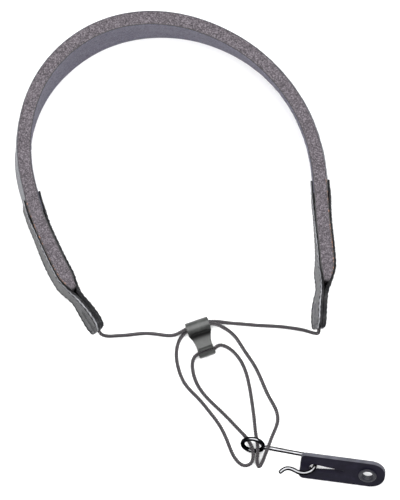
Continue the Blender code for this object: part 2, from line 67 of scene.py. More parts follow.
# pad and leather end tabs, as in the CAD model
PAD_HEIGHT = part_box("pad_foam_core")[1].z
GAP = 0.3 * MM
FOAM_HALF = 4.0 * MM
FOAM_HALF_IN_TABS = 4.1 * MM
FOAM_TIP_HALF = 0.25 * MM
SKIN = 0.35 * MM
SKIN_INSET = 0.3 * MM
LEATHER_AT_TONGUE = 2.3 * MM
LEATHER_OVER_PAD = 1.3 * MM
LEATHER_MARGIN = 1.0 * MM
TONGUE_HEIGHT = 28 * MM
TONGUE_CORNER = 8 * MM
TONGUE_PINCH = 22 * MM
FOAM_TIP = 30 * MM
LEATHER_SPREAD = 41 * MM
WIDE_FROM = 24 * MM
WIDE_TO = 40 * MM
LEFT_OUTER_TAB = 94 * MM
LEFT_INNER_TAB = 97 * MM
RIGHT_TAB = 94 * MM
STEP_FROM = 72 * MM
SKIN_TIP = 84 * MM

# fine detail of the pad and the tabs
STRAP_STEP = 1.0 * MM
FOAM_EDGE = 0.3 * MM
FOAM_SWELL = 0.05 * MM
FOAM_ROUGH = 0.07 * MM
GLUE_FILM = 0.25 * MM
GLUE_SOAK = 0.35 * MM
FILM_TOP = PAD_HEIGHT + 0.02 * MM
FILM_FOOT = 0.1 * MM
FILM_CORNER = 0.04 * MM
GLUE_FROM = FOAM_TIP + 4 * MM
SKIN_EDGE = 0.12 * MM
SKIN_STEP = 2.2 * MM
SKIN_ROWS = 23
SKIN_PRESSED = 24 * MM
SKIN_SINKS = 0.15 * MM
SKIN_RISES = 0.5 * MM
COVER_TUCK = 2.2 * MM
LEATHER_EDGE = 0.3 * MM
LEATHER_END_EDGE = 0.6 * MM
GRAIN = 0.05 * MM
LEATHER_STEP = 0.6 * MM
LEATHER_SCALLOP = 0.12 * MM
RIDGE_HALF = 2.2 * MM
RIDGE_RISE = 0.75 * MM
RIDGE_WIDTH = 2.0 * MM
SEAM_INSET = 2.6 * MM
SEAM_LENGTH = 88 * MM
SEAM_DIP = 0.3 * MM
SEAM_DIP_WIDTH = 0.8 * MM
SEAM_SHADE_WIDTH = 0.7 * MM
SEAM_BUMP = 0.34 * MM
SEAM_BUMP_AT = 1.7 * MM
SEAM_BUMP_WIDTH = 1.3 * MM
DENT_AT = 1.2 * MM
DENT_WIDTH = 2.2 * MM
STITCH_PITCH = 3.7 * MM
STITCH_LENGTH = 3.0 * MM
STITCH_WANDER = 0.25 * MM
STITCH_DIVE = 0.34 * MM
THREAD_RADIUS = 0.3 * MM

# cord
CORD = 2.4 * MM
CORD_STEP = 0.3 * MM
CORD_SIDES = 24
CORD_CARRIERS = 4
BRAID_PITCH = 6.4 * MM
BRAID_RELIEF = 0.16 * MM
CHANNEL = CORD / 2 + 0.45 * MM
STUB = 18 * MM

# slide adjuster, in its own frame: x along the barrel, y away from the hook, z up
SLIDER_AT = Vector((16.8, -194.2, 0)) * MM
SLIDER_TURN = math.radians(19)
BARREL_RADIUS = 4.35 * MM
BARREL_HALF = 7.65 * MM
BARREL_BORE = 3.2 * MM
CLIP_AT = 17.0 * MM
CLIP_RADIUS = 3.45 * MM
CLIP_BORE = 1.7 * MM
CRING_LIP = 5.5 * MM
CLIP_SLIT = 1.2 * MM
NECK_LOW = 1.2 * MM
NECK_AT_BARREL = 3.0 * MM
NECK_AT_CLIP = 5.5 * MM
LIP_CORNER = 1.5 * MM
WAIST_HALF = 5.2 * MM
WAIST_AT = 13.5 * MM
WAIST_RADIUS = 18.0 * MM
CROSSING_RISE = 1.4 * MM
CROSSING_SIDE = 0.6 * MM
SLIDER_GRID = 0.16 * MM
HOLLOW_AT = 1.5 * MM
HOLLOW_WIDTH = 2.5 * MM

# hook, one bent wire
WIRE = 2.8 * MM
EYE_AT = Vector((52.3, -271.3, 7.3)) * MM
EYE_RADIUS = 6.7 * MM
EYE_RISE = math.radians(60)
SHANK_TURN = math.radians(-10.9)
EYE_OPENING = math.radians(20)
EYE_LEAD_OUT = math.radians(20)
LEAD_OUT_RADIUS = 3.4 * MM

# rubber tab, in its own frame: x along it, y across it, z through it, origin at its left end
TAB_LENGTH = 55.2 * MM
TAB_WIDTH = 20.8 * MM
TAB_THICKNESS = 3.1 * MM
TAB_RISE = math.radians(50)
TAB_TURN = math.radians(-7.5)
TAB_CORNER = 3.0 * MM
TAB_END_RADIUS = 9.6 * MM
TAB_LEFT_END = Vector((82.8, -284.1, 0)) * MM
KEYHOLE_AT = 9.3 * MM
KEYHOLE_RADIUS = 3.4 * MM
SLOT_TO = 28.5 * MM
SLOT_WIDE = 5.8 * MM
SLOT_NARROW = 1.8 * MM
RING_AT = 43.9 * MM
RING_FLANGE = 5.8 * MM
RING_BODY = 4.4 * MM
RING_BORE = 3.4 * MM
RING_PROUD = 0.7 * MM
RING_CHAMFER = 0.2 * MM
RING_RIDGES = 3
RING_RIDGE_DEPTH = 0.22 * MM
RING_LIP = 0.5 * MM
TAB_GRID = 0.22 * MM

# The strap's middle line at half the pad's height, from the left tongue's end to the right one's:
# x, y and how far the top edge leans outwards over the whole height.
STRAP_ROUTE = [
    (-0.0470, -0.1990, -0.0113), (-0.0545, -0.1872, -0.0096), (-0.0637, -0.1741, -0.0034),
    (-0.0721, -0.1605, -0.0027), (-0.0794, -0.1452, -0.0025), (-0.0861, -0.1285, -0.0014),
    (-0.0918, -0.1110, -0.0025), (-0.0954, -0.0948, -0.0030), (-0.0959, -0.0802, -0.0026),
    (-0.0920, -0.0581, -0.0011), (-0.0826, -0.0379, 0.0005), (-0.0675, -0.0206, 0.0018),
    (-0.0489, -0.0082, 0.0020), (-0.0282, -0.0013, 0.0014), (-0.0059, 0.0003, 0.0002),
    (0.0148, -0.0028, -0.0014), (0.0345, -0.0100, -0.0027), (0.0521, -0.0204, -0.0035),
    (0.0670, -0.0337, -0.0040), (0.0792, -0.0496, -0.0037), (0.0881, -0.0675, -0.0030),
    (0.0935, -0.0862, -0.0022), (0.0962, -0.1100, -0.0015), (0.0976, -0.1320, -0.0010),
    (0.0989, -0.1520, 0.0006), (0.0979, -0.1674, 0.0037), (0.0954, -0.1808, 0.0075),
    (0.0947, -0.1978, 0.0080),
]

# The cord's routes outside the tabs and the slide adjuster.
LEFT_RUN = [
    (-0.0456, -0.2008, 0.0243), (-0.0430, -0.2018, 0.0203), (-0.0396, -0.2015, 0.0138),
    (-0.0358, -0.2006, 0.0072), (-0.0315, -0.1999, 0.0027), (-0.0266, -0.1993, 0.0012),
    (-0.0162, -0.1984, 0.0011), (-0.0051, -0.1996, 0.0011), (0.0015, -0.1996, 0.0022),
]
RIGHT_RUN = [
    (0.0945, -0.1999, 0.0244), (0.0930, -0.2004, 0.0212), (0.0896, -0.1990, 0.0150),
    (0.0857, -0.1972, 0.0085), (0.0810, -0.1957, 0.0033), (0.0757, -0.1947, 0.0012),
    (0.0561, -0.1932, 0.0011), (0.0428, -0.1921, 0.0011), (0.0345, -0.1914, 0.0018),
]
RIGHT_LOOP = [
    (0.0335, -0.1948, 0.0029), (0.0400, -0.1995, 0.0012), (0.0465, -0.2088, 0.0011),
    (0.0540, -0.2203, 0.0011), (0.0580, -0.2288, 0.0011), (0.0637, -0.2412, 0.0011),
    (0.0674, -0.2482, 0.0012), (0.0685, -0.2537, 0.0022), (0.0672, -0.2600, 0.0056),
    (0.0643, -0.2670, 0.0096), (0.0622, -0.2728, 0.0107), (0.0602, -0.2776, 0.0074),
    (0.0584, -0.2822, 0.0026), (0.0563, -0.2849, 0.0012), (0.0551, -0.2820, 0.0025),
    (0.0553, -0.2780, 0.0053), (0.0555, -0.2742, 0.0062), (0.0552, -0.2695, 0.0038),
    (0.0544, -0.2645, 0.0012), (0.0531, -0.2528, 0.0011), (0.0515, -0.2408, 0.0011),
    (0.0486, -0.2260, 0.0011), (0.0450, -0.2170, 0.0011), (0.0392, -0.2098, 0.0012),
    (0.0339, -0.2066, 0.0022), (0.0304, -0.2064, 0.0033),
]
LEFT_LOOP = [
    (0.0048, -0.2030, 0.0014), (0.0029, -0.2125, 0.0011), (0.0044, -0.2218, 0.0011),
    (0.0089, -0.2318, 0.0011), (0.0172, -0.2408, 0.0011), (0.0240, -0.2489, 0.0011),
    (0.0311, -0.2586, 0.0011), (0.0365, -0.2700, 0.0011), (0.0394, -0.2770, 0.0011),
    (0.0430, -0.2820, 0.0011), (0.0470, -0.2842, 0.0012), (0.0508, -0.2830, 0.0019),
    (0.0524, -0.2794, 0.0036), (0.0524, -0.2750, 0.0044), (0.0507, -0.2702, 0.0030),
    (0.0476, -0.2655, 0.0012), (0.0434, -0.2610, 0.0011), (0.0374, -0.2547, 0.0011),
    (0.0311, -0.2484, 0.0011), (0.0230, -0.2405, 0.0011), (0.0168, -0.2322, 0.0011),
    (0.0138, -0.2240, 0.0011), (0.0134, -0.2175, 0.0018), (0.0148, -0.2138, 0.0028),
]

# The hook's shank, bend, returning arm and out-turned tip, after the eye.
HOOK_ROUTE = [
    (0.0700, -0.2747, 0.0073), (0.0780, -0.2762, 0.0074), (0.0845, -0.2774, 0.0075),
    (0.0885, -0.2785, 0.0077), (0.0914, -0.2808, 0.0079), (0.0924, -0.2840, 0.0087),
    (0.0911, -0.2871, 0.0096), (0.0881, -0.2891, 0.0101), (0.0845, -0.2897, 0.0102),
    (0.0805, -0.2886, 0.0099), (0.0762, -0.2867, 0.0096), (0.0729, -0.2869, 0.0098),
    (0.0701, -0.2889, 0.0103),
]


# ---- camera, lights and floor -------------------------------------------------------------------


def make_camera():
    data = bpy.data.cameras.new("camera")
    data.lens = SENSOR_MM * CAMERA_DISTANCE / VIEW_HEIGHT
    data.sensor_width = SENSOR_MM
    data.clip_start = 0.1
    camera = bpy.data.objects.new("camera", data)
    back = Vector((0, -math.sin(CAMERA_TILT), math.cos(CAMERA_TILT)))
    camera.location = CAMERA_AIM + back * CAMERA_DISTANCE
    camera.rotation_euler = (CAMERA_TILT, 0, 0)
    bpy.context.scene.collection.objects.link(camera)
    bpy.context.scene.camera = camera


def softbox(name, place, aim, width, height, watts):
    data = bpy.data.lights.new(name, "AREA")
    data.shape = "RECTANGLE"
    data.size = width
    data.size_y = height
    data.energy = watts
    light = bpy.data.objects.new(name, data)
    light.location = place
    light.rotation_euler = (Vector(aim) - Vector(place)).to_track_quat("-Z", "Y").to_euler()
    light.visible_camera = False
    bpy.context.scene.collection.objects.link(light)


def make_studio():
    bpy.context.scene.view_settings.view_transform = "Standard"
    world = bpy.data.worlds.new("studio")
    world.use_nodes = True
    world.node_tree.nodes["Background"].inputs["Color"].default_value = (0.96, 0.97, 1, 1)
    world.node_tree.nodes["Background"].inputs["Strength"].default_value = 0.35
    bpy.context.scene.world = world
    softbox("overhead_softbox", (0.02, 0.0, 1.30), (0.0, -0.14, 0), 2.0, 1.7, 50)
    softbox("left_softbox", (-0.9, -0.5, 0.7), (0, -0.14, 0), 0.5, 0.6, 2.0)
    softbox("back_softbox", (0.5, 0.9, 0.8), (0, -0.14, 0), 0.7, 0.4, 2.4)
    look = Look("floor_paper", 0.9)
    look.colour(look.ramp(look.noise(30), [(0, (0.93, 0.93, 0.93)), (1, (0.95, 0.95, 0.95))]))
    bpy.ops.mesh.primitive_plane_add(size=12, location=(0, 0, -0.2 * MM))
    floor = bpy.context.object
    floor.name = "floor"
    floor.data.materials.append(look.material)


# ---- materials ----------------------------------------------------------------------------------


class Look:
    """A procedural material: one Principled shader and the nodes that feed it."""

    def __init__(self, name, roughness, **constants):
        self.material = bpy.data.materials.new(name)
        self.material.use_nodes = True
        self.tree = self.material.node_tree
        self.shader = self.tree.nodes["Principled BSDF"]
        self.shader.inputs["Roughness"].default_value = roughness
        for key, value in constants.items():
            title = key.replace("_", " ").title().replace("Ior", "IOR")
            self.shader.inputs[title].default_value = value
        self.place = self.tree.nodes.new("ShaderNodeTexCoord").outputs["Object"]
        self.normal = None

    def node(self, kind, inputs, output=0, **settings):
        made = self.tree.nodes.new(kind)
        for key, value in settings.items():
            setattr(made, key, value)
        for key, value in inputs.items():
            if isinstance(value, bpy.types.NodeSocket):
                self.tree.links.new(value, made.inputs[key])
            else:
                made.inputs[key].default_value = value
        return made.outputs[output]

    def noise(self, scale, detail=2, roughness=0.5):
        values = {"Vector": self.place, "Scale": scale, "Detail": detail, "Roughness": roughness}
        return self.node("ShaderNodeTexNoise", values)

    def cells(self, scale, feature="F1"):
        values = {"Vector": self.place, "Scale": scale}
        return self.node("ShaderNodeTexVoronoi", values, feature=feature)

    def value(self, name):
        """A number that the mesh holds at each of its points."""
        return self.node("ShaderNodeAttribute", {}, "Fac", attribute_name=name)

    def maths(self, operation, first, second):
        return self.node("ShaderNodeMath", {0: first, 1: second}, operation=operation)

    def blend(self, first, first_share, second, second_share):
        """The sum of two textures, each times its share."""
        one = self.maths("MULTIPLY", first, first_share)
        other = self.maths("MULTIPLY", second, second_share)
        return self.maths("ADD", one, other)

    def ramp(self, factor, stops):
        made = self.tree.nodes.new("ShaderNodeValToRGB")
        self.tree.links.new(factor, made.inputs[0])
        elements = made.color_ramp.elements
        while len(elements) < len(stops):
            elements.new(0.5)
        for element, (at, colour) in zip(elements, stops):
            element.position = at
            element.color = (*colour, 1)
        return made.outputs["Color"]

    def mix(self, factor, first, second):
        made = self.tree.nodes.new("ShaderNodeMix")
        made.data_type = "RGBA"
        for key, value in ((0, factor), (6, first), (7, second)):
            if isinstance(value, bpy.types.NodeSocket):
                self.tree.links.new(value, made.inputs[key])
            else:
                made.inputs[key].default_value = value
        return made.outputs[2]

    def colour(self, socket):
        self.tree.links.new(socket, self.shader.inputs["Base Color"])

    def vary_roughness(self, factor, low, high):
        span = self.node(
            "ShaderNodeMapRange", {"Value": factor, "To Min": low, "To Max": high}
        )
        self.tree.links.new(span, self.shader.inputs["Roughness"])

    def bump(self, height, distance, strength=1.0):
        values = {"Height": height, "Distance": distance, "Strength": strength}
        if self.normal is not None:
            values["Normal"] = self.normal
        self.normal = self.node("ShaderNodeBump", values)
        self.tree.links.new(self.normal, self.shader.inputs["Normal"])


def weave(look, along, across):
    """The height of a plain weave, from two crossed sets of bands."""
    uv = look.tree.nodes.new("ShaderNodeTexCoord").outputs["UV"]
    turn = 2 * math.pi
    scale = (turn / along, turn / across, 1)
    scaled = look.node("ShaderNodeMapping", {"Vector": uv, "Scale": scale})
    split = look.tree.nodes.new("ShaderNodeSeparateXYZ")
    look.tree.links.new(scaled, split.inputs[0])
    waves = [look.node("ShaderNodeMath", {0: split.outputs[k]}, operation="SINE") for k in (0, 1)]
    return look.maths("MULTIPLY", *waves)


def foam_look():
    look = Look("foam", 0.95)
    coarse = look.noise(600, 3, 0.65)
    fine = look.noise(1250, 1, 0.8)
    both = look.blend(coarse, 0.14, fine, 0.86)
    stops = [
        (0.36, (0.028, 0.024, 0.028)), (0.46, (0.056, 0.048, 0.055)),
        (0.54, (0.082, 0.071, 0.081)), (0.64, (0.145, 0.128, 0.143)),
    ]
    look.colour(look.ramp(both, stops))
    look.bump(look.cells(1300), 0.2 * MM, 0.35)
    look.bump(coarse, 0.3 * MM, 0.25)
    return look.material


def glue_look(name, dark, light):
    """A broken film of glue: dark, with lighter spots where it has soaked in."""
    look = Look(name, 0.5)
    broken = look.noise(520, 3, 0.65)
    look.colour(look.ramp(broken, [(0.44, (0.003, 0.002, 0.003)), (0.54, dark), (0.64, light)]))
    look.bump(broken, 0.1 * MM, 0.6)
    return look.material


def fabric_look(name, dark, light, sheen):
    look = Look(name, 0.72, sheen_weight=sheen, sheen_roughness=0.4, specular_ior_level=0.2)
    threads = weave(look, 0.9 * MM, 0.9 * MM)
    patches = look.noise(60, 3)
    slubs = look.maths("MULTIPLY", look.noise(800, 1, 0.7), 0.9)
    shade = look.maths("ADD", look.blend(threads, 0.22, patches, 0.2), slubs)
    look.colour(look.ramp(shade, [(0.3, dark), (0.75, light)]))
    look.vary_roughness(patches, 0.62, 0.85)
    look.bump(threads, 0.08 * MM, 0.6)
    return look.material


def leather_face_look(name, depth):
    """Grained leather with worn creases and dark stitch marks, painted near black along the seam's
    groove and dents as partly painted shade; depth scales its colour, a painted shade that darkens the
    outer leathers.
    """
    look = Look(name, 0.55, specular_ior_level=0.22)
    pores = look.cells(1100)
    creases = look.noise(380, 4, 0.6)
    worn = look.noise(110, 3, 0.6)
    shade = look.blend(creases, 0.65, worn, 0.35)
    # depth scales the colour: a painted shade, darker on the outer leathers
    low, high = (0.012 * depth, 0.155 * depth)
    face = look.ramp(shade, [(0.34, (low, low, 1.2 * low)), (0.66, (high, high, 1.1 * high))])
    marks = look.ramp(look.noise(260, 3, 0.7), [(0.38, (1, 1, 1)), (0.45, (0, 0, 0))])
    face = look.mix(look.maths("MULTIPLY", marks, 0.75), face, (0.012, 0.012, 0.014, 1))
    # partly stitch marks, partly painted shade: near black along the seam's groove and dents
    look.colour(look.mix(look.value("stitch_marks_and_shade"), face, (0.010, 0.010, 0.012, 1)))
    look.vary_roughness(worn, 0.42, 0.62)
    look.bump(pores, 0.2 * MM, 0.7)
    look.bump(creases, 0.3 * MM, 0.7)
    return look.material


def leather_edge_look():
    look = Look("leather_cut_edge", 0.85, specular_ior_level=0.1)
    fibres = look.noise(1300, 4, 0.7)
    patches = look.noise(160, 2)
    shade = look.blend(fibres, 0.6, patches, 0.4)
    stops = [
        (0.36, (0.003, 0.003, 0.004)), (0.52, (0.016, 0.016, 0.017)), (0.7, (0.060, 0.061, 0.063)),
    ]
    look.colour(look.ramp(shade, stops))
    look.bump(fibres, 0.2 * MM, 0.7)
    return look.material


def leather_rim_look():
    # painted highlight: the pale rim along the leathers' outer corner
    look = Look("leather_rim_highlight", 0.5, specular_ior_level=0.3)
    worn = look.noise(500, 3)
    stops = [(0.3, (0.060, 0.060, 0.066)), (0.7, (0.270, 0.273, 0.290))]
    look.colour(look.ramp(worn, stops))
    look.bump(worn, 0.08 * MM, 0.4)
    return look.material


def thread_look():
    look = Look("stitch_thread", 0.8, specular_ior_level=0.2)
    twist = look.noise(2600, 2)
    look.colour(look.ramp(twist, [(0.35, (0.006, 0.006, 0.008)), (0.7, (0.026, 0.026, 0.030))]))
    look.bump(twist, 0.08 * MM, 0.6)
    return look.material


def cord_look():
    look = Look("braided_cord", 0.85, specular_ior_level=0.15)
    look.place = look.tree.nodes.new("ShaderNodeTexCoord").outputs["UV"]
    fuzz = look.noise(2400, 3, 0.7)
    # painted shade: the colour follows the braid's relief, near black in the gaps between strands and
    # lighter on their backs
    relief = look.value("relief")
    shade = look.blend(relief, 0.75, fuzz, 0.25)
    stops = [(0.15, (0.004, 0.003, 0.004)), (0.55, (0.022, 0.020, 0.022)), (0.9, (0.075, 0.070, 0.074))]
    yarn = look.ramp(shade, stops)
    broken = look.ramp(fuzz, [(0.4, (0, 0, 0)), (0.6, (1, 1, 1))])
    spots = look.maths("MULTIPLY", look.value("fleck"), broken)
    look.colour(look.mix(spots, yarn, (0.22, 0.205, 0.215, 1)))
    look.bump(fuzz, 0.06 * MM, 0.7)
    return look.material


def slider_look():
    look = Look("adjuster_plastic", 0.38, specular_ior_level=0.45)
    grain = look.noise(2200, 2)
    wear = look.noise(140, 4, 0.6)
    stops = [(0.3, (0.024, 0.025, 0.024)), (0.6, (0.042, 0.044, 0.042)), (0.8, (0.066, 0.069, 0.066))]
    hollow_shade = look.value("hollow_shade")
    # painted shade: the hollow between barrel and waist and the clip's slit are painted near black
    look.colour(look.mix(hollow_shade, look.ramp(wear, stops), (0.002, 0.002, 0.002, 1)))
    look.vary_roughness(wear, 0.30, 0.44)
    gloss = look.node("ShaderNodeMapRange", {"Value": hollow_shade, "To Min": 0.45, "To Max": 0.05})
    look.tree.links.new(gloss, look.shader.inputs["Specular IOR Level"])
    look.bump(grain, 0.05 * MM, 0.35)
    return look.material


def chrome_look():
    """Chrome with painted reflections: painted near black along the wire's two sides and lighter on
    top, as when a bright light stands in a dark room.
    """
    look = Look("hook_chrome", 0.1, metallic=1.0, specular_tint=(0.05, 0.05, 0.06, 1))
    haze = look.noise(220, 4, 0.6)
    bright = look.ramp(haze, [(0.3, (0.12, 0.12, 0.125)), (0.7, (0.22, 0.22, 0.23))])
    shaded = look.ramp(haze, [(0.3, (0.002, 0.002, 0.003)), (0.7, (0.012, 0.012, 0.014))])
    # painted reflection: the marked sides are painted near black, the rest lighter
    look.colour(look.mix(look.value("side"), bright, shaded))
    look.vary_roughness(haze, 0.08, 0.2)
    return look.material


def rubber_look():
    look = Look("tab_rubber", 0.6, specular_ior_level=0.08)
    grain = look.noise(1700, 3, 0.6)
    dust = look.noise(120, 4, 0.65)
    stops = [(0.3, (0.004, 0.0035, 0.008)), (0.6, (0.008, 0.007, 0.015)), (0.8, (0.018, 0.016, 0.030))]
    # painted highlight: the band round the tab's edge is painted lighter than its faces
    lit_band = look.ramp(dust, [(0.3, (0.050, 0.050, 0.060)), (0.7, (0.095, 0.095, 0.112))])
    look.colour(look.mix(look.value("edge"), look.ramp(dust, stops), lit_band))
    look.vary_roughness(dust, 0.48, 0.68)
    look.bump(grain, 0.08 * MM, 0.5)
    return look.material


def ring_look():
    look = Look("ring_plastic", 0.4, specular_ior_level=0.3)
    wear = look.noise(300, 4, 0.6)
    look.colour(look.ramp(wear, [(0.3, (0.006, 0.006, 0.010)), (0.75, (0.022, 0.022, 0.030))]))
    look.vary_roughness(wear, 0.28, 0.45)
    look.bump(look.noise(1500), 0.04 * MM, 0.4)
    return look.material


# ---- shapes -------------------------------------------------------------------------------------


def smoothstep(value, low, high):
    """From 0 at the low value to 1 at the high one, eased at both."""
    t = np.clip((value - low) / (high - low), 0, 1)
    return t * t * (3 - 2 * t)


def smooth_curve(route, step):
    """Points about `step` apart on the natural cubic spline through the route's points."""
    route = np.array(route, float)
    chord = np.linalg.norm(np.diff(route[:, :3], axis=0), axis=1)
    last = len(route) - 1
    system = np.eye(last + 1)
    right = np.zeros_like(route)
    for i in range(1, last):
        system[i, i - 1 : i + 2] = chord[i - 1], 2 * (chord[i - 1] + chord[i]), chord[i]
        after = (route[i + 1] - route[i]) / chord[i]
        before = (route[i] - route[i - 1]) / chord[i - 1]
        right[i] = 6 * (after - before)
    second = np.linalg.solve(system, right)
    fine = []
    for i in range(last):
        for t in np.linspace(0, 1, 40, endpoint=False):
            s = 1 - t
            straight = s * route[i] + t * route[i + 1]
            bend = (s**3 - s) * second[i] + (t**3 - t) * second[i + 1]
            fine.append(straight + bend * chord[i] ** 2 / 6)
    return evenly(np.array(fine + [route[last]]), step)


def evenly(points, step):
    """The same line with its points about `step` apart."""
    along = distances(points)
    even = np.linspace(0, along[-1], round(along[-1] / step) + 1)
    return np.stack([np.interp(even, along, points[:, k]) for k in range(points.shape[1])], 1)


def distances(points):
    """How far along a line each of its points lies."""
    steps = np.linalg.norm(np.diff(points[:, :3], axis=0), axis=1)
    return np.concatenate([[0], np.cumsum(steps)])


def arc(centre_x, centre_y, radius, start, end, steps):
    """Points on an arc from one angle to another, in degrees, both ends included."""
    angles = np.radians(np.linspace(start, end, steps + 1))
    return [(centre_x + radius * math.cos(a), centre_y + radius * math.sin(a)) for a in angles]


def loft(name, ring_sets, materials, zones=None, values=None, cyclic=False):
    """One mesh through sets of rings, each an array of rings x points x 3.

    zones gives the material of each strip of faces round a ring, and values holds named numbers,
    one for each point. UVs are metres along and around the rings.
    """
    points, faces, uvs, indices = [], [], [], []
    start = 0
    for rings in ring_sets:
        rings = np.asarray(rings, float)
        count, sides = rings.shape[:2]
        spans = count if cyclic else count - 1
        i, j = np.meshgrid(np.arange(spans), np.arange(sides), indexing="ij")
        after, beside = (i + 1) % count, (j + 1) % sides
        here, there = i * sides, after * sides
        quads = np.stack([here + j, here + beside, there + beside, there + j], -1)
        flat = rings.reshape(-1, 3)
        corners = flat[quads.reshape(-1, 4)] - flat.mean(0)
        first = np.einsum("ij,ij->i", corners[:, 0], np.cross(corners[:, 1], corners[:, 2]))
        second = np.einsum("ij,ij->i", corners[:, 0], np.cross(corners[:, 2], corners[:, 3]))
        along = distances(np.vstack([rings.mean(1), rings.mean(1)[:1]]))
        around = distances(np.vstack([rings[0], rings[0][:1]]))
        u = np.stack([along[i], along[i], along[i + 1], along[i + 1]], -1)
        v = np.stack([around[j], around[j + 1], around[j + 1], around[j]], -1)
        uv = np.stack([u, v], -1).reshape(-1, 4, 2)
        quads = quads.reshape(-1, 4) + start
        last_ring = (count - 1) * sides
        caps = [] if cyclic else [range(sides)[::-1], range(last_ring, last_ring + sides)]
        caps = [[start + k for k in cap] for cap in caps]
        if (first + second).sum() < 0:
            quads, uv = quads[:, ::-1], uv[:, ::-1]
            caps = [cap[::-1] for cap in caps]
        faces += quads.tolist() + caps
        uvs += [uv.reshape(-1, 2), np.zeros((sum(map(len, caps)), 2))]
        strip = np.zeros(sides, int) if zones is None else np.asarray(zones)
        indices += [np.tile(strip, spans), np.full(len(caps), strip.max())]
        points.append(flat)
        start += len(flat)
    mesh = bpy.data.meshes.new(name)
    mesh.from_pydata(np.concatenate(points).tolist(), [], faces)
    mesh.uv_layers.new(name="UVMap").data.foreach_set("uv", np.concatenate(uvs).ravel())
    for material in materials:
        mesh.materials.append(material)
    mesh.polygons.foreach_set("material_index", np.concatenate(indices).astype(np.int32))
    for key, numbers in (values or {}).items():
        mesh.attributes.new(key, "FLOAT", "POINT").data.foreach_set("value", np.ravel(numbers))
    mesh.shade_smooth()
    mesh.set_sharp_from_angle(angle=math.radians(50))
    made = bpy.data.objects.new(name, mesh)
    bpy.context.scene.collection.objects.link(made)
    return made


def carried_frames(points):
    """Two directions across a path at each point, carried along it without twisting."""
    tangents = np.gradient(points, axis=0)
    tangents /= np.linalg.norm(tangents, axis=1)[:, None]
    side = np.cross(tangents[0], (0.3, 0.2, 0.93))
    sides = []
    for tangent in tangents:
        side = side - tangent * (side @ tangent)
        side = side / np.linalg.norm(side)
        sides.append(side)
    sides = np.array(sides)
    return tangents, sides, np.cross(tangents, sides)


def tube_rings(points, radius, sides):
    """Rings round a path; the radius is one number, or one for each point and side."""
    angles = np.linspace(0, 2 * math.pi, sides, endpoint=False)
    _, right, up = carried_frames(points)
    turn = np.cos(angles)[None, :, None] * right[:, None] + np.sin(angles)[None, :, None] * up[:, None]
    radius = np.broadcast_to(radius, (len(points), sides))
    return points[:, None] + turn * radius[:, :, None]


def round_ends(points, radius, steps=5):
    """The path with a dome's points added at both ends, and the radius at each point."""
    tangents = carried_frames(points)[0]
    angles = np.linspace(math.radians(6), math.pi / 2, steps + 1)[:-1]
    first = [points[0] - tangents[0] * radius * math.cos(a) for a in angles]
    last = [points[-1] + tangents[-1] * radius * math.cos(a) for a in angles]
    dome = [radius * math.sin(a) for a in angles]
    path = np.vstack([first, points, last[::-1]])
    return path, np.array(dome + [radius] * len(points) + dome[::-1])


def prism(name, outline, thickness):
    """A flat outline in the XY plane, extruded both ways to the thickness."""
    flat = [[(x, y, z) for x, y in outline] for z in (-thickness / 2, thickness / 2)]
    return loft(name, [flat], [])


def boolean(obj, other, operation):
    cut = obj.modifiers.new(operation.lower(), "BOOLEAN")
    cut.operation = operation
    cut.object = other


def soften(obj, grid, rounds):
    """Rebuild the shape on a fine grid and relax it, which rounds its edges as moulding does."""
    remesh = obj.modifiers.new("remesh", "REMESH")
    remesh.mode = "VOXEL"
    remesh.voxel_size = grid
    relax = obj.modifiers.new("relax", "SMOOTH")
    relax.factor = 0.5
    relax.iterations = rounds


def freeze(obj, material, cutters=()):
    """Keep the evaluated mesh, with its place in its vertices, and remove the cutters."""
    bpy.context.view_layer.update()
    evaluated = obj.evaluated_get(bpy.context.evaluated_depsgraph_get())
    mesh = bpy.data.meshes.new_from_object(evaluated)
    mesh.transform(obj.matrix_world)
    mesh.materials.clear()
    mesh.materials.append(material)
    mesh.shade_smooth()
    obj.modifiers.clear()
    obj.data = mesh
    obj.matrix_world = Matrix.Identity(4)
    for cutter in cutters:
        bpy.data.objects.remove(cutter, do_unlink=True)
    return obj


# ---- the strap's line ---------------------------------------------------------------------------


class Strap:
    """The strap's middle line, which gives the place of any distance, offset and height."""

    def __init__(self):
        line = smooth_curve([(x, y, 0, lean) for x, y, lean in STRAP_ROUTE], 0.25 * MM)
        self.line = line
        self.along = distances(line)
        self.length = self.along[-1]
        self.tangents = np.gradient(line[:, :2], axis=0)
        self.tangents /= np.linalg.norm(self.tangents, axis=1)[:, None]

    def place(self, distance, offset, height):
        """Points at distances from the left end, offsets from the middle line, and heights."""
        distance, offset, height = np.broadcast_arrays(distance, offset, height)
        x, y, lean = (np.interp(distance, self.along, self.line[:, k]) for k in (0, 1, 3))
        tx, ty = (np.interp(distance, self.along, self.tangents[:, k]) for k in (0, 1))
        out = offset + lean * (height / PAD_HEIGHT - 0.5)
        return np.stack([x - ty * out, y + tx * out, height], -1)


STRAP = Strap()


def skin_room(from_end):
    """Room for a skin and its gap between foam and leather: none deep in the tabs."""
    return (SKIN + GAP) * smoothstep(from_end, STEP_FROM, SKIN_TIP)


def leather_offset(from_end):
    """From the strap's middle to a leather's inner face."""
    eased = smoothstep(from_end, STEP_FROM, SKIN_TIP)
    foam = FOAM_HALF_IN_TABS + (FOAM_HALF - FOAM_HALF_IN_TABS) * eased
    full = foam + GAP + skin_room(from_end)
    return GAP / 2 + (full - GAP / 2) * smoothstep(from_end, TONGUE_PINCH, LEATHER_SPREAD)


def leather_thickness(from_end):
    """Full at the tongue, thinned over the pad."""
    thinned = smoothstep(from_end, TONGUE_PINCH, LEATHER_SPREAD)
    return LEATHER_AT_TONGUE + (LEATHER_OVER_PAD - LEATHER_AT_TONGUE) * thinned


def foam_half(from_end):
    return np.maximum(FOAM_TIP_HALF, leather_offset(from_end) - GAP - skin_room(from_end))


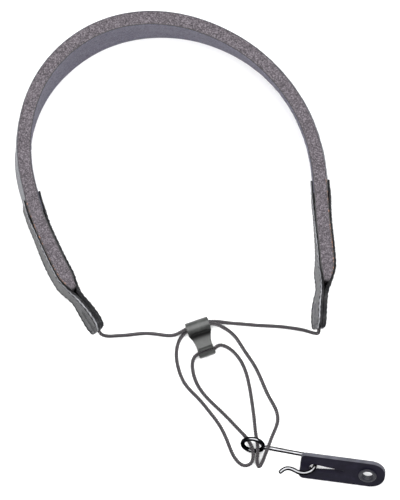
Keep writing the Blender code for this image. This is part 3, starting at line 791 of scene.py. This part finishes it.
def tab_half_height(from_end):
    """Half the height of a leather tab: wide over the pad, narrow at the tongue, round-ended."""
    wide = PAD_HEIGHT / 2 - LEATHER_MARGIN
    tongue = TONGUE_HEIGHT / 2
    half = tongue + (wide - tongue) * smoothstep(from_end, WIDE_FROM, WIDE_TO)
    left = np.maximum(0, TONGUE_CORNER - from_end)
    return half - TONGUE_CORNER + np.sqrt(TONGUE_CORNER**2 - left**2)


def section_points(edge_points, face_points):
    """The points round a strip's rounded section: faces, corners and edges.

    Each is a place between the inset corners, across from 0 to 1 and up from -1 to 1, and the
    direction in which the corner radius pushes it. zone 0 is a face, 1 a cut edge and 2 a corner.
    """
    quarter = np.radians([22.5, 45, 67.5])
    across, up, push, zone = [], [], [], []

    def add(x, y, direction, kind):
        across.append(x)
        up.append(y)
        push.append(direction)
        zone.append(kind)

    for y in face_points:
        add(0, y, (-1, 0), 0)
    for a in quarter:
        add(0, 1, (-math.cos(a), math.sin(a)), 2)
    for x in edge_points:
        add(x, 1, (0, 1), 1)
    for a in quarter[::-1]:
        add(1, 1, (math.cos(a), math.sin(a)), 2)
    for y in face_points[::-1]:
        add(1, y, (1, 0), 0)
    for a in quarter:
        add(1, -1, (math.cos(a), -math.sin(a)), 2)
    for x in edge_points[::-1]:
        add(x, -1, (0, -1), 1)
    for a in quarter[::-1]:
        add(0, -1, (-math.cos(a), -math.sin(a)), 2)
    return np.array(across), np.array(up), np.array(push, float), np.array(zone)


def end_inset(distance, length, radius):
    """How far a strip's faces draw in near its two ends, so that its end edges are round."""
    near = np.minimum(distance, length - distance)
    left = np.clip(radius - near, 0, radius)
    return radius - np.sqrt(radius**2 - left**2)


def end_spaced(length, step, radius):
    """Distances along a strip, closer together at its rounded ends."""
    fine = radius * np.array([0, 0.04, 0.15, 0.35, 0.65])
    middle = np.linspace(radius, length - radius, round((length - 2 * radius) / step))
    return np.concatenate([fine, middle, length - fine[::-1]])


def bell(value, width):
    """A soft hump of height 1 round zero."""
    return np.exp(-((value / width) ** 2))


def rough(points, scale, amount):
    """A fixed random displacement of each point, as a distance."""
    flat = points.reshape(-1, 3) * scale
    return amount * np.array([noise.noise(Vector(p)) for p in flat]).reshape(points.shape[:-1])


# ---- pad ----------------------------------------------------------------------------------------


def strip(distance, near, far, low, high, radius, across, up, push):
    """Offsets and heights of a rounded strip's points, one row for each distance."""
    column = [np.reshape(np.broadcast_to(v, distance.shape), (-1, 1)) for v in (near, far, low, high)]
    near, far, low, high = column
    radius = np.minimum(radius, (far - near) * 0.45)
    offset = near + radius + across * (far - near - 2 * radius) + radius * push[:, 0]
    middle, half = (low + high) / 2, (high - low) / 2 - radius
    return offset, middle + up * half + radius * push[:, 1]


def make_foam():
    faces = np.linspace(-1, 1, 24)
    across, up, push, _ = section_points(np.linspace(0, 1, 12), faces)
    first, last = FOAM_TIP, STRAP.length - FOAM_TIP
    distance = first + end_spaced(last - first, STRAP_STEP, 0.5 * MM)
    half = foam_half(np.minimum(distance, STRAP.length - distance)) + FOAM_SWELL
    offset, height = strip(distance, -half, half, 0, PAD_HEIGHT, FOAM_EDGE, across, up, push)
    points = STRAP.place(distance[:, None], offset, height)
    bumps = rough(points, 1100, FOAM_ROUGH) + rough(points, 240, 0.6 * FOAM_ROUGH)
    inside = (height > FOAM_EDGE) & (height < PAD_HEIGHT - FOAM_EDGE)
    height = np.where(inside, height, np.clip(height - np.abs(bumps) * np.sign(up), 0, PAD_HEIGHT))
    points = STRAP.place(distance[:, None], offset, height)
    foam = loft("pad_foam", [points], [foam_look()])
    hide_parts("pad_foam_core")
    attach(foam, "pad")


def make_glue(name, side, first, last, material):
    """The thin film of glue between the foam and its fabric, or the leather of a tab."""
    across, up, push, _ = section_points([0.5], np.linspace(-1, 1, 12))
    distance = first + end_spaced(last - first, STRAP_STEP, 0.1 * MM)
    foam = foam_half(np.minimum(distance, STRAP.length - distance)) + FOAM_SWELL
    near, far = np.sort([side * (foam - GLUE_SOAK), side * (foam + GLUE_FILM)], 0)
    offset, height = strip(
        distance, near, far, FILM_FOOT, FILM_TOP, FILM_CORNER, across, up, push,
    )
    film = loft(name, [STRAP.place(distance[:, None], offset, height)], [material])
    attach(film, "pad")


def settle_cloth(sheet, held):
    """Let a slightly oversized cloth find its shape, held along its glued edges."""
    group = sheet.vertex_groups.new(name="held")
    for index, weight in enumerate(held):
        group.add([index], float(weight), "REPLACE")
    cloth = sheet.modifiers.new("cloth", "CLOTH")
    cloth.settings.quality = 6
    cloth.settings.mass = 0.05
    cloth.settings.tension_stiffness = 20
    cloth.settings.compression_stiffness = 20
    cloth.settings.bending_stiffness = 0.02
    cloth.settings.shrink_min = -0.03
    cloth.settings.vertex_group_mass = "held"
    cloth.settings.pin_stiffness = 2
    cloth.settings.use_pressure = True
    cloth.settings.uniform_pressure_force = 0.4
    cloth.settings.effector_weights.gravity = 0
    cloth.collision_settings.use_collision = False
    scene = bpy.context.scene
    scene.frame_start, scene.frame_end = 1, 20
    cloth.point_cache.frame_start, cloth.point_cache.frame_end = 1, 20
    for step in range(1, 21):
        scene.frame_set(step)
    evaluated = sheet.evaluated_get(bpy.context.evaluated_depsgraph_get())
    settled = np.array([v.co for v in evaluated.data.vertices], float)
    sheet.modifiers.remove(cloth)
    sheet.vertex_groups.clear()
    scene.frame_set(1)
    return settled


def make_skin(name, node, side, material, tucks):
    """One face's fabric: a sheet that is let settle as cloth, then given its thickness."""
    rows = np.linspace(0, 1, SKIN_ROWS)
    distance = np.arange(SKIN_TIP, STRAP.length - SKIN_TIP, SKIN_STEP)
    from_end = np.minimum(distance, STRAP.length - distance)[:, None]
    face = side * (foam_half(from_end) + GAP + SKIN / 2)
    tuck = tucks(distance[:, None])
    low = SKIN_INSET + 0 * tuck
    high = PAD_HEIGHT - SKIN_INSET - tuck
    height = low + (high - low) * rows[None, :]
    grid = STRAP.place(distance[:, None], face, height)
    count, across = grid.shape[:2]
    index = np.arange(count * across).reshape(count, across)
    quads = np.stack([index[:-1, :-1], index[1:, :-1], index[1:, 1:], index[:-1, 1:]], -1)
    mesh = bpy.data.meshes.new(name)
    mesh.from_pydata(grid.reshape(-1, 3).tolist(), [], quads.reshape(-1, 4).tolist())
    sheet = bpy.data.objects.new(name, mesh)
    bpy.context.scene.collection.objects.link(sheet)
    outward = (STRAP.place(distance[:, None], face + side * MM, height) - grid) / MM
    glued = np.clip(1.25 - 6 * np.minimum(rows, 1 - rows), 0, 1)[None, :]
    pressed = 1 - smoothstep(from_end, SKIN_TIP, SKIN_TIP + SKIN_PRESSED)
    held = np.maximum(np.maximum(glued, pressed), 0.35)
    settled = settle_cloth(sheet, held.ravel()).reshape(grid.shape)
    ease = np.clip(((settled - grid) * outward).sum(-1), -SKIN_SINKS, SKIN_RISES)
    bpy.data.objects.remove(sheet, do_unlink=True)
    thick = SKIN / 2
    inner = grid + outward * (ease - thick)[..., None]
    outer = grid + outward * (ease + thick)[..., None]
    rim_low = grid[:, :1] + outward[:, :1] * ease[:, :1, None] - [0, 0, SKIN_EDGE]
    rim_high = grid[:, -1:] + outward[:, -1:] * ease[:, -1:, None] + [0, 0, SKIN_EDGE]
    rings = np.concatenate([inner, rim_high, outer[:, ::-1], rim_low], 1)
    skin = loft(name, [rings], [material])
    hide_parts(node)
    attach(skin, "pad")


def make_pad():
    make_foam()
    orange = glue_look("contact_glue", (0.035, 0.018, 0.013), (0.20, 0.080, 0.035))
    grey = glue_look("lining_glue", (0.004, 0.003, 0.004), (0.022, 0.019, 0.022))
    last = STRAP.length - GLUE_FROM
    make_glue("left_tab_glue", 1, GLUE_FROM, LEFT_OUTER_TAB, orange)
    make_glue("right_tab_glue", 1, STRAP.length - RIGHT_TAB, last, orange)
    make_glue("pad_inner_glue", -1, GLUE_FROM, last, grey)
    lining = fabric_look("lining_fabric", (0.040, 0.037, 0.058), (0.135, 0.127, 0.172), 0.04)
    cover = fabric_look("cover_fabric", (0.10, 0.102, 0.112), (0.215, 0.218, 0.235), 0.05)

    def no_tuck(distance):
        return 0 * distance

    def under_tabs(distance):
        left = 1 - smoothstep(distance, LEFT_OUTER_TAB - 1 * MM, LEFT_OUTER_TAB + 1 * MM)
        reach = STRAP.length - distance
        right = 1 - smoothstep(reach, RIGHT_TAB - 1 * MM, RIGHT_TAB + 1 * MM)
        return COVER_TUCK * (left + right)

    make_skin("pad_lining", "pad_inner_lining", -1, lining, no_tuck)
    make_skin("pad_cover", "pad_outer_cover", 1, cover, under_tabs)


# ---- leather end tabs ---------------------------------------------------------------------------


def make_leather(name, side, on_left, length, looks, mirror_seed):
    """One leather of a tab: side 1 is outside the pad, -1 inside, and lengths run from its end."""
    half_wide = PAD_HEIGHT / 2 - LEATHER_MARGIN
    reach = np.linspace(-1, -RIDGE_HALF / half_wide, 20)
    ridge_rows = np.linspace(-RIDGE_HALF, RIDGE_HALF, 11)[1:-1] / half_wide
    faces = np.concatenate([reach, ridge_rows, -reach[::-1]])
    across, up, push, zone = section_points(np.linspace(0, 1, 5), faces)
    # the pale rim is a painted highlight on the outer corner, and wider on the leathers that face left
    faces_left = (side == 1) == on_left
    zone = np.where((across < 0.5) & (zone == 2), 1, zone)
    zone = np.where((across > 0.7) & (up > 0.9) & (zone == 1) & faces_left, 2, zone)
    from_end = end_spaced(length, LEATHER_STEP, LEATHER_END_EDGE)
    inset = end_inset(from_end, length, LEATHER_END_EDGE)
    face = leather_offset(from_end)
    half = tab_half_height(from_end) - inset
    scallop = np.sin(math.pi * from_end / STITCH_PITCH) ** 2
    fade = smoothstep(length - from_end, 1 * MM, 8 * MM)
    half = half - LEATHER_SCALLOP * scallop * fade
    offset, height = strip(
        from_end, face + inset, face + leather_thickness(from_end) - inset,
        PAD_HEIGHT / 2 - half, PAD_HEIGHT / 2 + half, LEATHER_EDGE, across, up, push,
    )
    # the cord's channel in the inner face, and the soft ridge that it raises on the outer one
    beside = np.abs(height - PAD_HEIGHT / 2)
    in_stub = 1 - smoothstep(from_end, STUB - 3 * MM, STUB)[:, None]
    bore = np.sqrt(np.maximum(0, CHANNEL**2 - beside**2)) * in_stub
    inner = (across < 0.5) & (zone == 0)
    offset = np.where(inner, np.maximum(offset, bore), offset)
    outer = (across > 0.5) & (zone != 1)
    ridge = RIDGE_RISE * bell(beside, RIDGE_WIDTH) * in_stub
    seam = (half - SEAM_INSET)[:, None] - beside
    sewn = (1 - smoothstep(from_end, SEAM_LENGTH - 2 * MM, SEAM_LENGTH + 2 * MM))[:, None]
    dip = SEAM_DIP * bell(seam, SEAM_DIP_WIDTH) * sewn
    pillow = SEAM_BUMP * scallop[:, None] * bell(seam + SEAM_BUMP_AT, SEAM_BUMP_WIDTH) * sewn
    offset = offset + np.where(outer, ridge - dip + pillow, 0)
    distance = (from_end if on_left else STRAP.length - from_end)[:, None]
    points = STRAP.place(distance, side * offset, height)
    seeded = points + mirror_seed
    grain = rough(seeded, 420, 2 * GRAIN) + rough(seeded, 1300, GRAIN)
    points = STRAP.place(distance, side * (offset + np.where(outer, grain, 0)), height)
    # near black along the seam's groove and in the dents between stitches: partly the stitch marks' own
    # colour, partly painted shade
    dents = 0.6 * (1 - scallop[:, None]) ** 2 * bell(seam + DENT_AT, DENT_WIDTH)
    groove = 0.8 * bell(seam, SEAM_SHADE_WIDTH)
    stitch_marks_and_shade = np.where(outer, np.maximum(groove, dents) * sewn, 0)
    leather = loft(name, [points], looks, zones=zone, values={"stitch_marks_and_shade": stitch_marks_and_shade})
    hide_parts(name)
    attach(leather, "pad")


def make_stitches(name, side, on_left, material):
    """Single stitches along the tab's outline: up one side, round the tongue's end and back."""
    reach = np.linspace(SEAM_LENGTH, SEAM_INSET, 200)
    up = tab_half_height(reach) - SEAM_INSET
    line = np.concatenate([np.stack([reach, up], 1), np.stack([reach, -up], 1)[::-1]])
    line = evenly(np.column_stack([line, np.zeros(len(line))]), 0.1 * MM)
    along = distances(line)
    ring_sets = []
    for start in np.arange(0.4 * MM, along[-1] - STITCH_LENGTH, STITCH_PITCH):
        wander = noise.noise(Vector((start * 900, side, 3.1 * on_left)))
        t = np.linspace(0, 1, 9)
        spot = start + t * STITCH_LENGTH * (1 + 0.12 * wander)
        from_end = np.interp(spot, along, line[:, 0])
        rise = np.interp(spot, along, line[:, 1]) + STITCH_WANDER * wander * (t - 0.5)
        lift = -STITCH_DIVE * (2 * t - 1) ** 4
        face = leather_offset(from_end) + leather_thickness(from_end)
        offset = face - SEAM_DIP + THREAD_RADIUS + lift
        distance = from_end if on_left else STRAP.length - from_end
        path = STRAP.place(distance, side * offset, PAD_HEIGHT / 2 + rise)
        radius = THREAD_RADIUS * (0.55 + 0.45 * np.sin(math.pi * t) ** 0.5)
        ring_sets.append(tube_rings(path, radius[:, None], 8))
    seam = loft(name + "_stitches", ring_sets, [material])
    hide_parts(name)
    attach(seam, "pad")


def make_tabs():
    edges = [leather_edge_look(), leather_rim_look()]
    # painted shade: the outer leathers are painted darker than the inner ones, one leather in two
    # shades
    outer_face = leather_face_look("leather_outer_face", 0.28)
    inner_face = leather_face_look("leather_inner_face", 0.7)
    thread = thread_look()
    lengths = {
        "left_tab_outer": LEFT_OUTER_TAB, "left_tab_inner": LEFT_INNER_TAB,
        "right_tab_outer": RIGHT_TAB, "right_tab_inner": RIGHT_TAB,
    }
    for seed, (tab, length) in enumerate(lengths.items()):
        side = 1 if "outer" in tab else -1
        on_left = "left" in tab
        looks = [outer_face if side == 1 else inner_face] + edges
        make_leather(tab + "_leather", side, on_left, length, looks, seed * 0.37)
        make_stitches(tab + "_seam", side, on_left, thread)


# ---- cord ---------------------------------------------------------------------------------------


def slider_place(x, y, z):
    """A point of the slide adjuster's own frame, in the strap's frame."""
    return SLIDER_AT + Matrix.Rotation(SLIDER_TURN, 3, "Z") @ Vector((x, y, z))


def run_end(side, rise):
    """The way into the barrel from the mouth on one side, -1 or 1, to its middle."""
    height = BARREL_RADIUS + rise
    mouth = slider_place(side * BARREL_HALF, CROSSING_SIDE, height)
    middle = slider_place(side * GAP / 2, 0, height)
    return [mouth, middle]


def loop_start(side, rise):
    """The way out of the barrel from its middle to the mouth on that side."""
    height = BARREL_RADIUS + rise
    middle = slider_place(side * GAP / 2, 0, height)
    mouth = slider_place(side * BARREL_HALF, -CROSSING_SIDE, height)
    return [middle, mouth]


def clip_end(side):
    """The way into the clip from its end on that side to its middle."""
    mouth = slider_place(side * CRING_LIP, -CLIP_AT, CLIP_RADIUS)
    middle = slider_place(side * GAP / 2, -CLIP_AT, CLIP_RADIUS)
    return [mouth, middle]


def stub(on_left):
    """The cord's way between a tongue's two leathers, from its inner end to the tongue's end."""
    reach = np.arange(STUB, -0.001 * MM, -3 * MM)
    distance = reach if on_left else STRAP.length - reach
    return [tuple(p) for p in STRAP.place(distance, 0, PAD_HEIGHT / 2)]


def braid(points, sides):
    """The height of a braid's strands, from 0 in the gaps to 1 on their backs, and its flecks."""
    around = np.linspace(0, CORD_CARRIERS, sides, endpoint=False)[None, :]
    along = (distances(points) / BRAID_PITCH * CORD_CARRIERS)[:, None]
    right, left = around + along, around - along
    over = (np.floor(right) + np.floor(left)) % 2
    wide, long = np.abs(np.sin(math.pi * right)), np.abs(np.sin(math.pi * left))
    relief = np.where(over < 1, wide**0.8 * long**0.25, long**0.8 * wide**0.25)
    return relief, relief**2 * (over < 1)


def make_cord(name, route, material):
    path = smooth_curve(route, CORD_STEP)
    path[:, 2] = np.maximum(path[:, 2], CORD / 2)
    relief, fleck = braid(path, CORD_SIDES)
    radius = CORD / 2 - BRAID_RELIEF * (1 - relief)
    cord = loft(
        name.replace("cord", "braided"), [tube_rings(path, radius, CORD_SIDES)], [material],
        values={"relief": relief, "fleck": fleck},
    )
    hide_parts(name)
    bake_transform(cord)


def make_cords():
    material = cord_look()
    left_stub, right_stub = stub(True), stub(False)
    make_cord(
        "cord_left_run", left_stub + LEFT_RUN + run_end(-1, CROSSING_RISE),
        material,
    )
    make_cord(
        "cord_right_run", right_stub + RIGHT_RUN + run_end(1, -CROSSING_RISE),
        material,
    )
    make_cord(
        "cord_right_loop", loop_start(1, CROSSING_RISE) + RIGHT_LOOP + clip_end(1),
        material,
    )
    make_cord(
        "cord_left_loop", loop_start(-1, -CROSSING_RISE) + LEFT_LOOP + clip_end(-1),
        material,
    )


# ---- slide adjuster -----------------------------------------------------------------------------


def slider_profile():
    """The adjuster's side view: barrel, neck and C-shaped clip as one outline, hook end at +x."""
    centre = CLIP_RADIUS
    slit = math.degrees(math.asin(CLIP_SLIT / 2 / CLIP_RADIUS))
    inner_slit = math.degrees(math.asin(CLIP_SLIT / 2 / CLIP_BORE))
    barrel_low = math.degrees(math.asin((NECK_LOW - BARREL_RADIUS) / BARREL_RADIUS))
    barrel_high = math.degrees(math.asin((NECK_AT_BARREL - BARREL_RADIUS) / BARREL_RADIUS))
    clip_low = -180 - math.degrees(math.asin((NECK_LOW - centre) / CLIP_RADIUS))
    clip_high = 180 - math.degrees(math.asin((NECK_AT_CLIP - centre) / CLIP_RADIUS))
    barrel = arc(0, BARREL_RADIUS, BARREL_RADIUS, barrel_high, barrel_low + 360, 80)
    under = arc(CLIP_AT, centre, CLIP_RADIUS, clip_low + 360, 450 - slit, 60)
    bore = arc(CLIP_AT, centre, CLIP_BORE, 90 - inner_slit, -270 + inner_slit, 50)
    over = arc(CLIP_AT, centre, CLIP_RADIUS, 90 + slit, clip_high, 14)
    return barrel + under + bore + over


def slider_plan():
    """The adjuster's top view: a full-width barrel, a concave waist and a narrower clip."""
    side = [(BARREL_HALF, BARREL_RADIUS + GAP), (BARREL_HALF, -BARREL_RADIUS)]
    centre = WAIST_HALF + WAIST_RADIUS
    reach = math.degrees(math.acos((centre - CRING_LIP) / WAIST_RADIUS))
    start = math.degrees(math.acos((centre - BARREL_HALF + GAP) / WAIST_RADIUS))
    side += arc(centre, -WAIST_AT, WAIST_RADIUS, 180 - start, 180 + reach, 30)
    lip = CLIP_AT + CLIP_RADIUS + GAP - LIP_CORNER
    side += arc(CRING_LIP - LIP_CORNER, -lip, LIP_CORNER, 0, -90, 12)
    return side + [(-x, y) for x, y in reversed(side)]


def mark_hollow(mesh, place):
    """Mark the hollow between barrel and waist, and the slit of the clip, which are painted near black
    as painted shade.
    """
    back = place.inverted()
    points = np.array([back @ v.co for v in mesh.vertices])
    behind = bell(points[:, 1] + BARREL_RADIUS + HOLLOW_AT, HOLLOW_WIDTH)
    slit = bell(points[:, 1] + CLIP_AT, CLIP_SLIT) * (points[:, 2] > CLIP_RADIUS)
    hollow_shade = np.clip(behind + slit, 0, 1)
    mesh.attributes.new("hollow_shade", "FLOAT", "POINT").data.foreach_set("value", hollow_shade)


def make_slider():
    body = prism("adjuster", slider_profile(), 2 * BARREL_HALF + 2 * MM)
    turn = Matrix(((0, 0, -1, 0), (-1, 0, 0, 0), (0, 1, 0, 0), (0, 0, 0, 1)))
    place = Matrix.Translation(SLIDER_AT) @ Matrix.Rotation(SLIDER_TURN, 4, "Z")
    body.matrix_world = place @ turn
    plan = prism("adjuster_plan", slider_plan(), 30 * MM)
    plan.matrix_world = place
    circle = arc(0, 0, BARREL_BORE, 0, 355, 71)
    bore = prism("adjuster_bore", circle, 30 * MM)
    bore.matrix_world = (
        place @ Matrix.Translation((0, 0, BARREL_RADIUS)) @ Matrix.Rotation(math.pi / 2, 4, "Y")
    )
    boolean(body, plan, "INTERSECT")
    boolean(body, bore, "DIFFERENCE")
    soften(body, SLIDER_GRID, 6)
    freeze(body, slider_look(), (plan, bore))
    mark_hollow(body.data, place)
    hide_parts("slide_adjuster")
    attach(body, "slider")


# ---- hook ---------------------------------------------------------------------------------------


def eye_point(along, across):
    """A point of the eye's plane: along the shank, and across it, rising away from the front."""
    shank = Vector((math.cos(SHANK_TURN), math.sin(SHANK_TURN), 0))
    level = Vector((-shank.y, shank.x, 0))
    rise = level * math.cos(EYE_RISE) + Vector((0, 0, math.sin(EYE_RISE)))
    return EYE_AT + shank * along + rise * across


def mark_painted_dark_sides(mesh):
    """Mark the wire's two sides for a painted dark reflection: 0 where its surface faces up or down,
    and 1 where it does not.
    """
    rise = np.abs([v.normal.z for v in mesh.vertices])
    sides = 1 - smoothstep(rise, 0.88, 0.98)
    mesh.attributes.new("side", "FLOAT", "POINT").data.foreach_set("value", sides)


def make_hook():
    end = 2 * math.pi - EYE_LEAD_OUT
    points = []
    for a in np.linspace(EYE_OPENING, end, 80):
        points.append(eye_point(EYE_RADIUS * math.cos(a), EYE_RADIUS * math.sin(a)))
    heading = math.pi / 2 - EYE_LEAD_OUT
    along = EYE_RADIUS * math.cos(end) + LEAD_OUT_RADIUS * math.sin(heading)
    for h in np.linspace(heading, 0, 14)[1:]:
        step = along - LEAD_OUT_RADIUS * math.sin(h)
        across = -LEAD_OUT_RADIUS * (1 - math.cos(h))
        points.append(eye_point(step, across))
    shank = smooth_curve([tuple(points[-1])] + HOOK_ROUTE, 0.4 * MM)
    path = np.vstack([np.array([tuple(p) for p in points]), shank[1:]])
    path, radius = round_ends(path, WIRE / 2)
    hook = loft("bent_wire_hook", [tube_rings(path, radius[:, None], 28)], [chrome_look()])
    mark_painted_dark_sides(hook.data)
    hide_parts("hook_wire")
    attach(hook, "hook")


# ---- rubber tab ---------------------------------------------------------------------------------


def tab_place():
    """The rubber tab's frame: lying on its lower long edge, its far long edge raised."""
    low = TAB_WIDTH / 2 * math.sin(TAB_RISE) + TAB_THICKNESS / 2 * math.cos(TAB_RISE)
    at = TAB_LEFT_END + Vector((0, 0, low))
    turn = Matrix.Rotation(TAB_TURN, 4, "Z") @ Matrix.Rotation(TAB_RISE, 4, "X")
    return Matrix.Translation(at) @ turn


def tab_outline():
    """A straight strip with two small corners at the left and a round right end."""
    half = TAB_WIDTH / 2
    corner = TAB_CORNER
    end = TAB_END_RADIUS
    outline = arc(corner, half - corner, corner, 180, 90, 16)
    outline += arc(TAB_LENGTH - end, half - end, end, 90, 0, 40)
    outline += arc(TAB_LENGTH - end, end - half, end, 0, -90, 40)
    outline += arc(corner, corner - half, corner, -90, -180, 16)
    return outline


def slot_outline():
    """A keyhole for the hook's wire that runs out into a tapering slot."""
    end = SLOT_NARROW / 2
    rim = math.degrees(math.asin(SLOT_WIDE / 2 / KEYHOLE_RADIUS))
    outline = arc(KEYHOLE_AT, 0, KEYHOLE_RADIUS, rim, 360 - rim, 60)
    return outline + arc(SLOT_TO - end, 0, end, -90, 90, 30)


def mark_lit_edge(mesh, place):
    """Mark the band round the tab's outer edge, where its thickness shows, for a painted highlight that
    makes it lighter.
    """
    back = place.inverted()
    points = np.array([back @ v.co for v in mesh.vertices])
    normals = np.array([back.to_3x3() @ v.normal for v in mesh.vertices])
    outline = np.array(tab_outline() + tab_outline()[:1])
    line = evenly(np.column_stack([outline, 0 * outline[:, 0]]), 0.5 * MM)[:, :2]
    away = np.array([np.min(np.hypot(*(line - p[:2]).T)) for p in points])
    side = 1 - smoothstep(np.abs(normals[:, 2]), 0.55, 0.85)
    near = 1 - smoothstep(away, 0.6 * MM, 1.0 * MM)
    mesh.attributes.new("edge", "FLOAT", "POINT").data.foreach_set("value", side * near)


def make_tab():
    place = tab_place()
    tab = prism("rubber_tab", tab_outline(), TAB_THICKNESS)
    slot = prism("tab_slot", slot_outline(), 20 * MM)
    hole = prism("tab_hole", arc(0, 0, RING_BODY + GAP / 2, 0, 355, 71), 20 * MM)
    tab.matrix_world = place
    slot.matrix_world = place
    hole.matrix_world = place @ Matrix.Translation((RING_AT, 0, 0))
    boolean(tab, slot, "DIFFERENCE")
    boolean(tab, hole, "DIFFERENCE")
    soften(tab, TAB_GRID, 5)
    freeze(tab, rubber_look(), (slot, hole))
    mark_lit_edge(tab.data, place)
    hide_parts("thumb_tab")
    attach(tab, "thumb_tab")


def make_ring():
    """The insert in the tab's hole: a flanged sleeve with a rounded lip and a ridged bore."""
    face = TAB_THICKNESS / 2
    top = face + GAP + RING_PROUD
    lip = RING_PROUD / 2
    foot = RING_CHAMFER
    profile = [(RING_BODY, face + GAP / 2), (RING_BODY, foot - face), (RING_BODY - foot, -face)]
    depth = np.linspace(-face, top - lip, 46)
    for z in depth:
        ridge = RING_RIDGE_DEPTH * math.cos(2 * math.pi * RING_RIDGES * (z + face) / (top + face))
        profile.append((RING_BORE + RING_RIDGE_DEPTH + ridge, z))
    inner = RING_BORE + RING_LIP
    profile += [(inner + RING_LIP + RING_LIP * math.cos(a), top - lip + lip * math.sin(a))
                for a in np.radians([150, 120, 90])]
    profile += [(RING_FLANGE - lip + lip * math.cos(a), top - lip + lip * math.sin(a))
                for a in np.radians([90, 60, 30, 0, -30, -60, -90])]
    rings = []
    for a in np.linspace(0, 2 * math.pi, 96, endpoint=False):
        rings.append([(r * math.cos(a), r * math.sin(a), z) for r, z in profile])
    ring = loft("ridged_ring", [rings], [], cyclic=True)
    ring.matrix_world = tab_place() @ Matrix.Translation((RING_AT, 0, 0))
    freeze(ring, ring_look())
    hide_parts("thumb_tab_ring")
    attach(ring, "thumb_tab")


make_camera()
make_cords()
make_studio()
make_pad()
make_tabs()
make_slider()
make_hook()
make_tab()
make_ring()

bpy.context.view_layer.update()
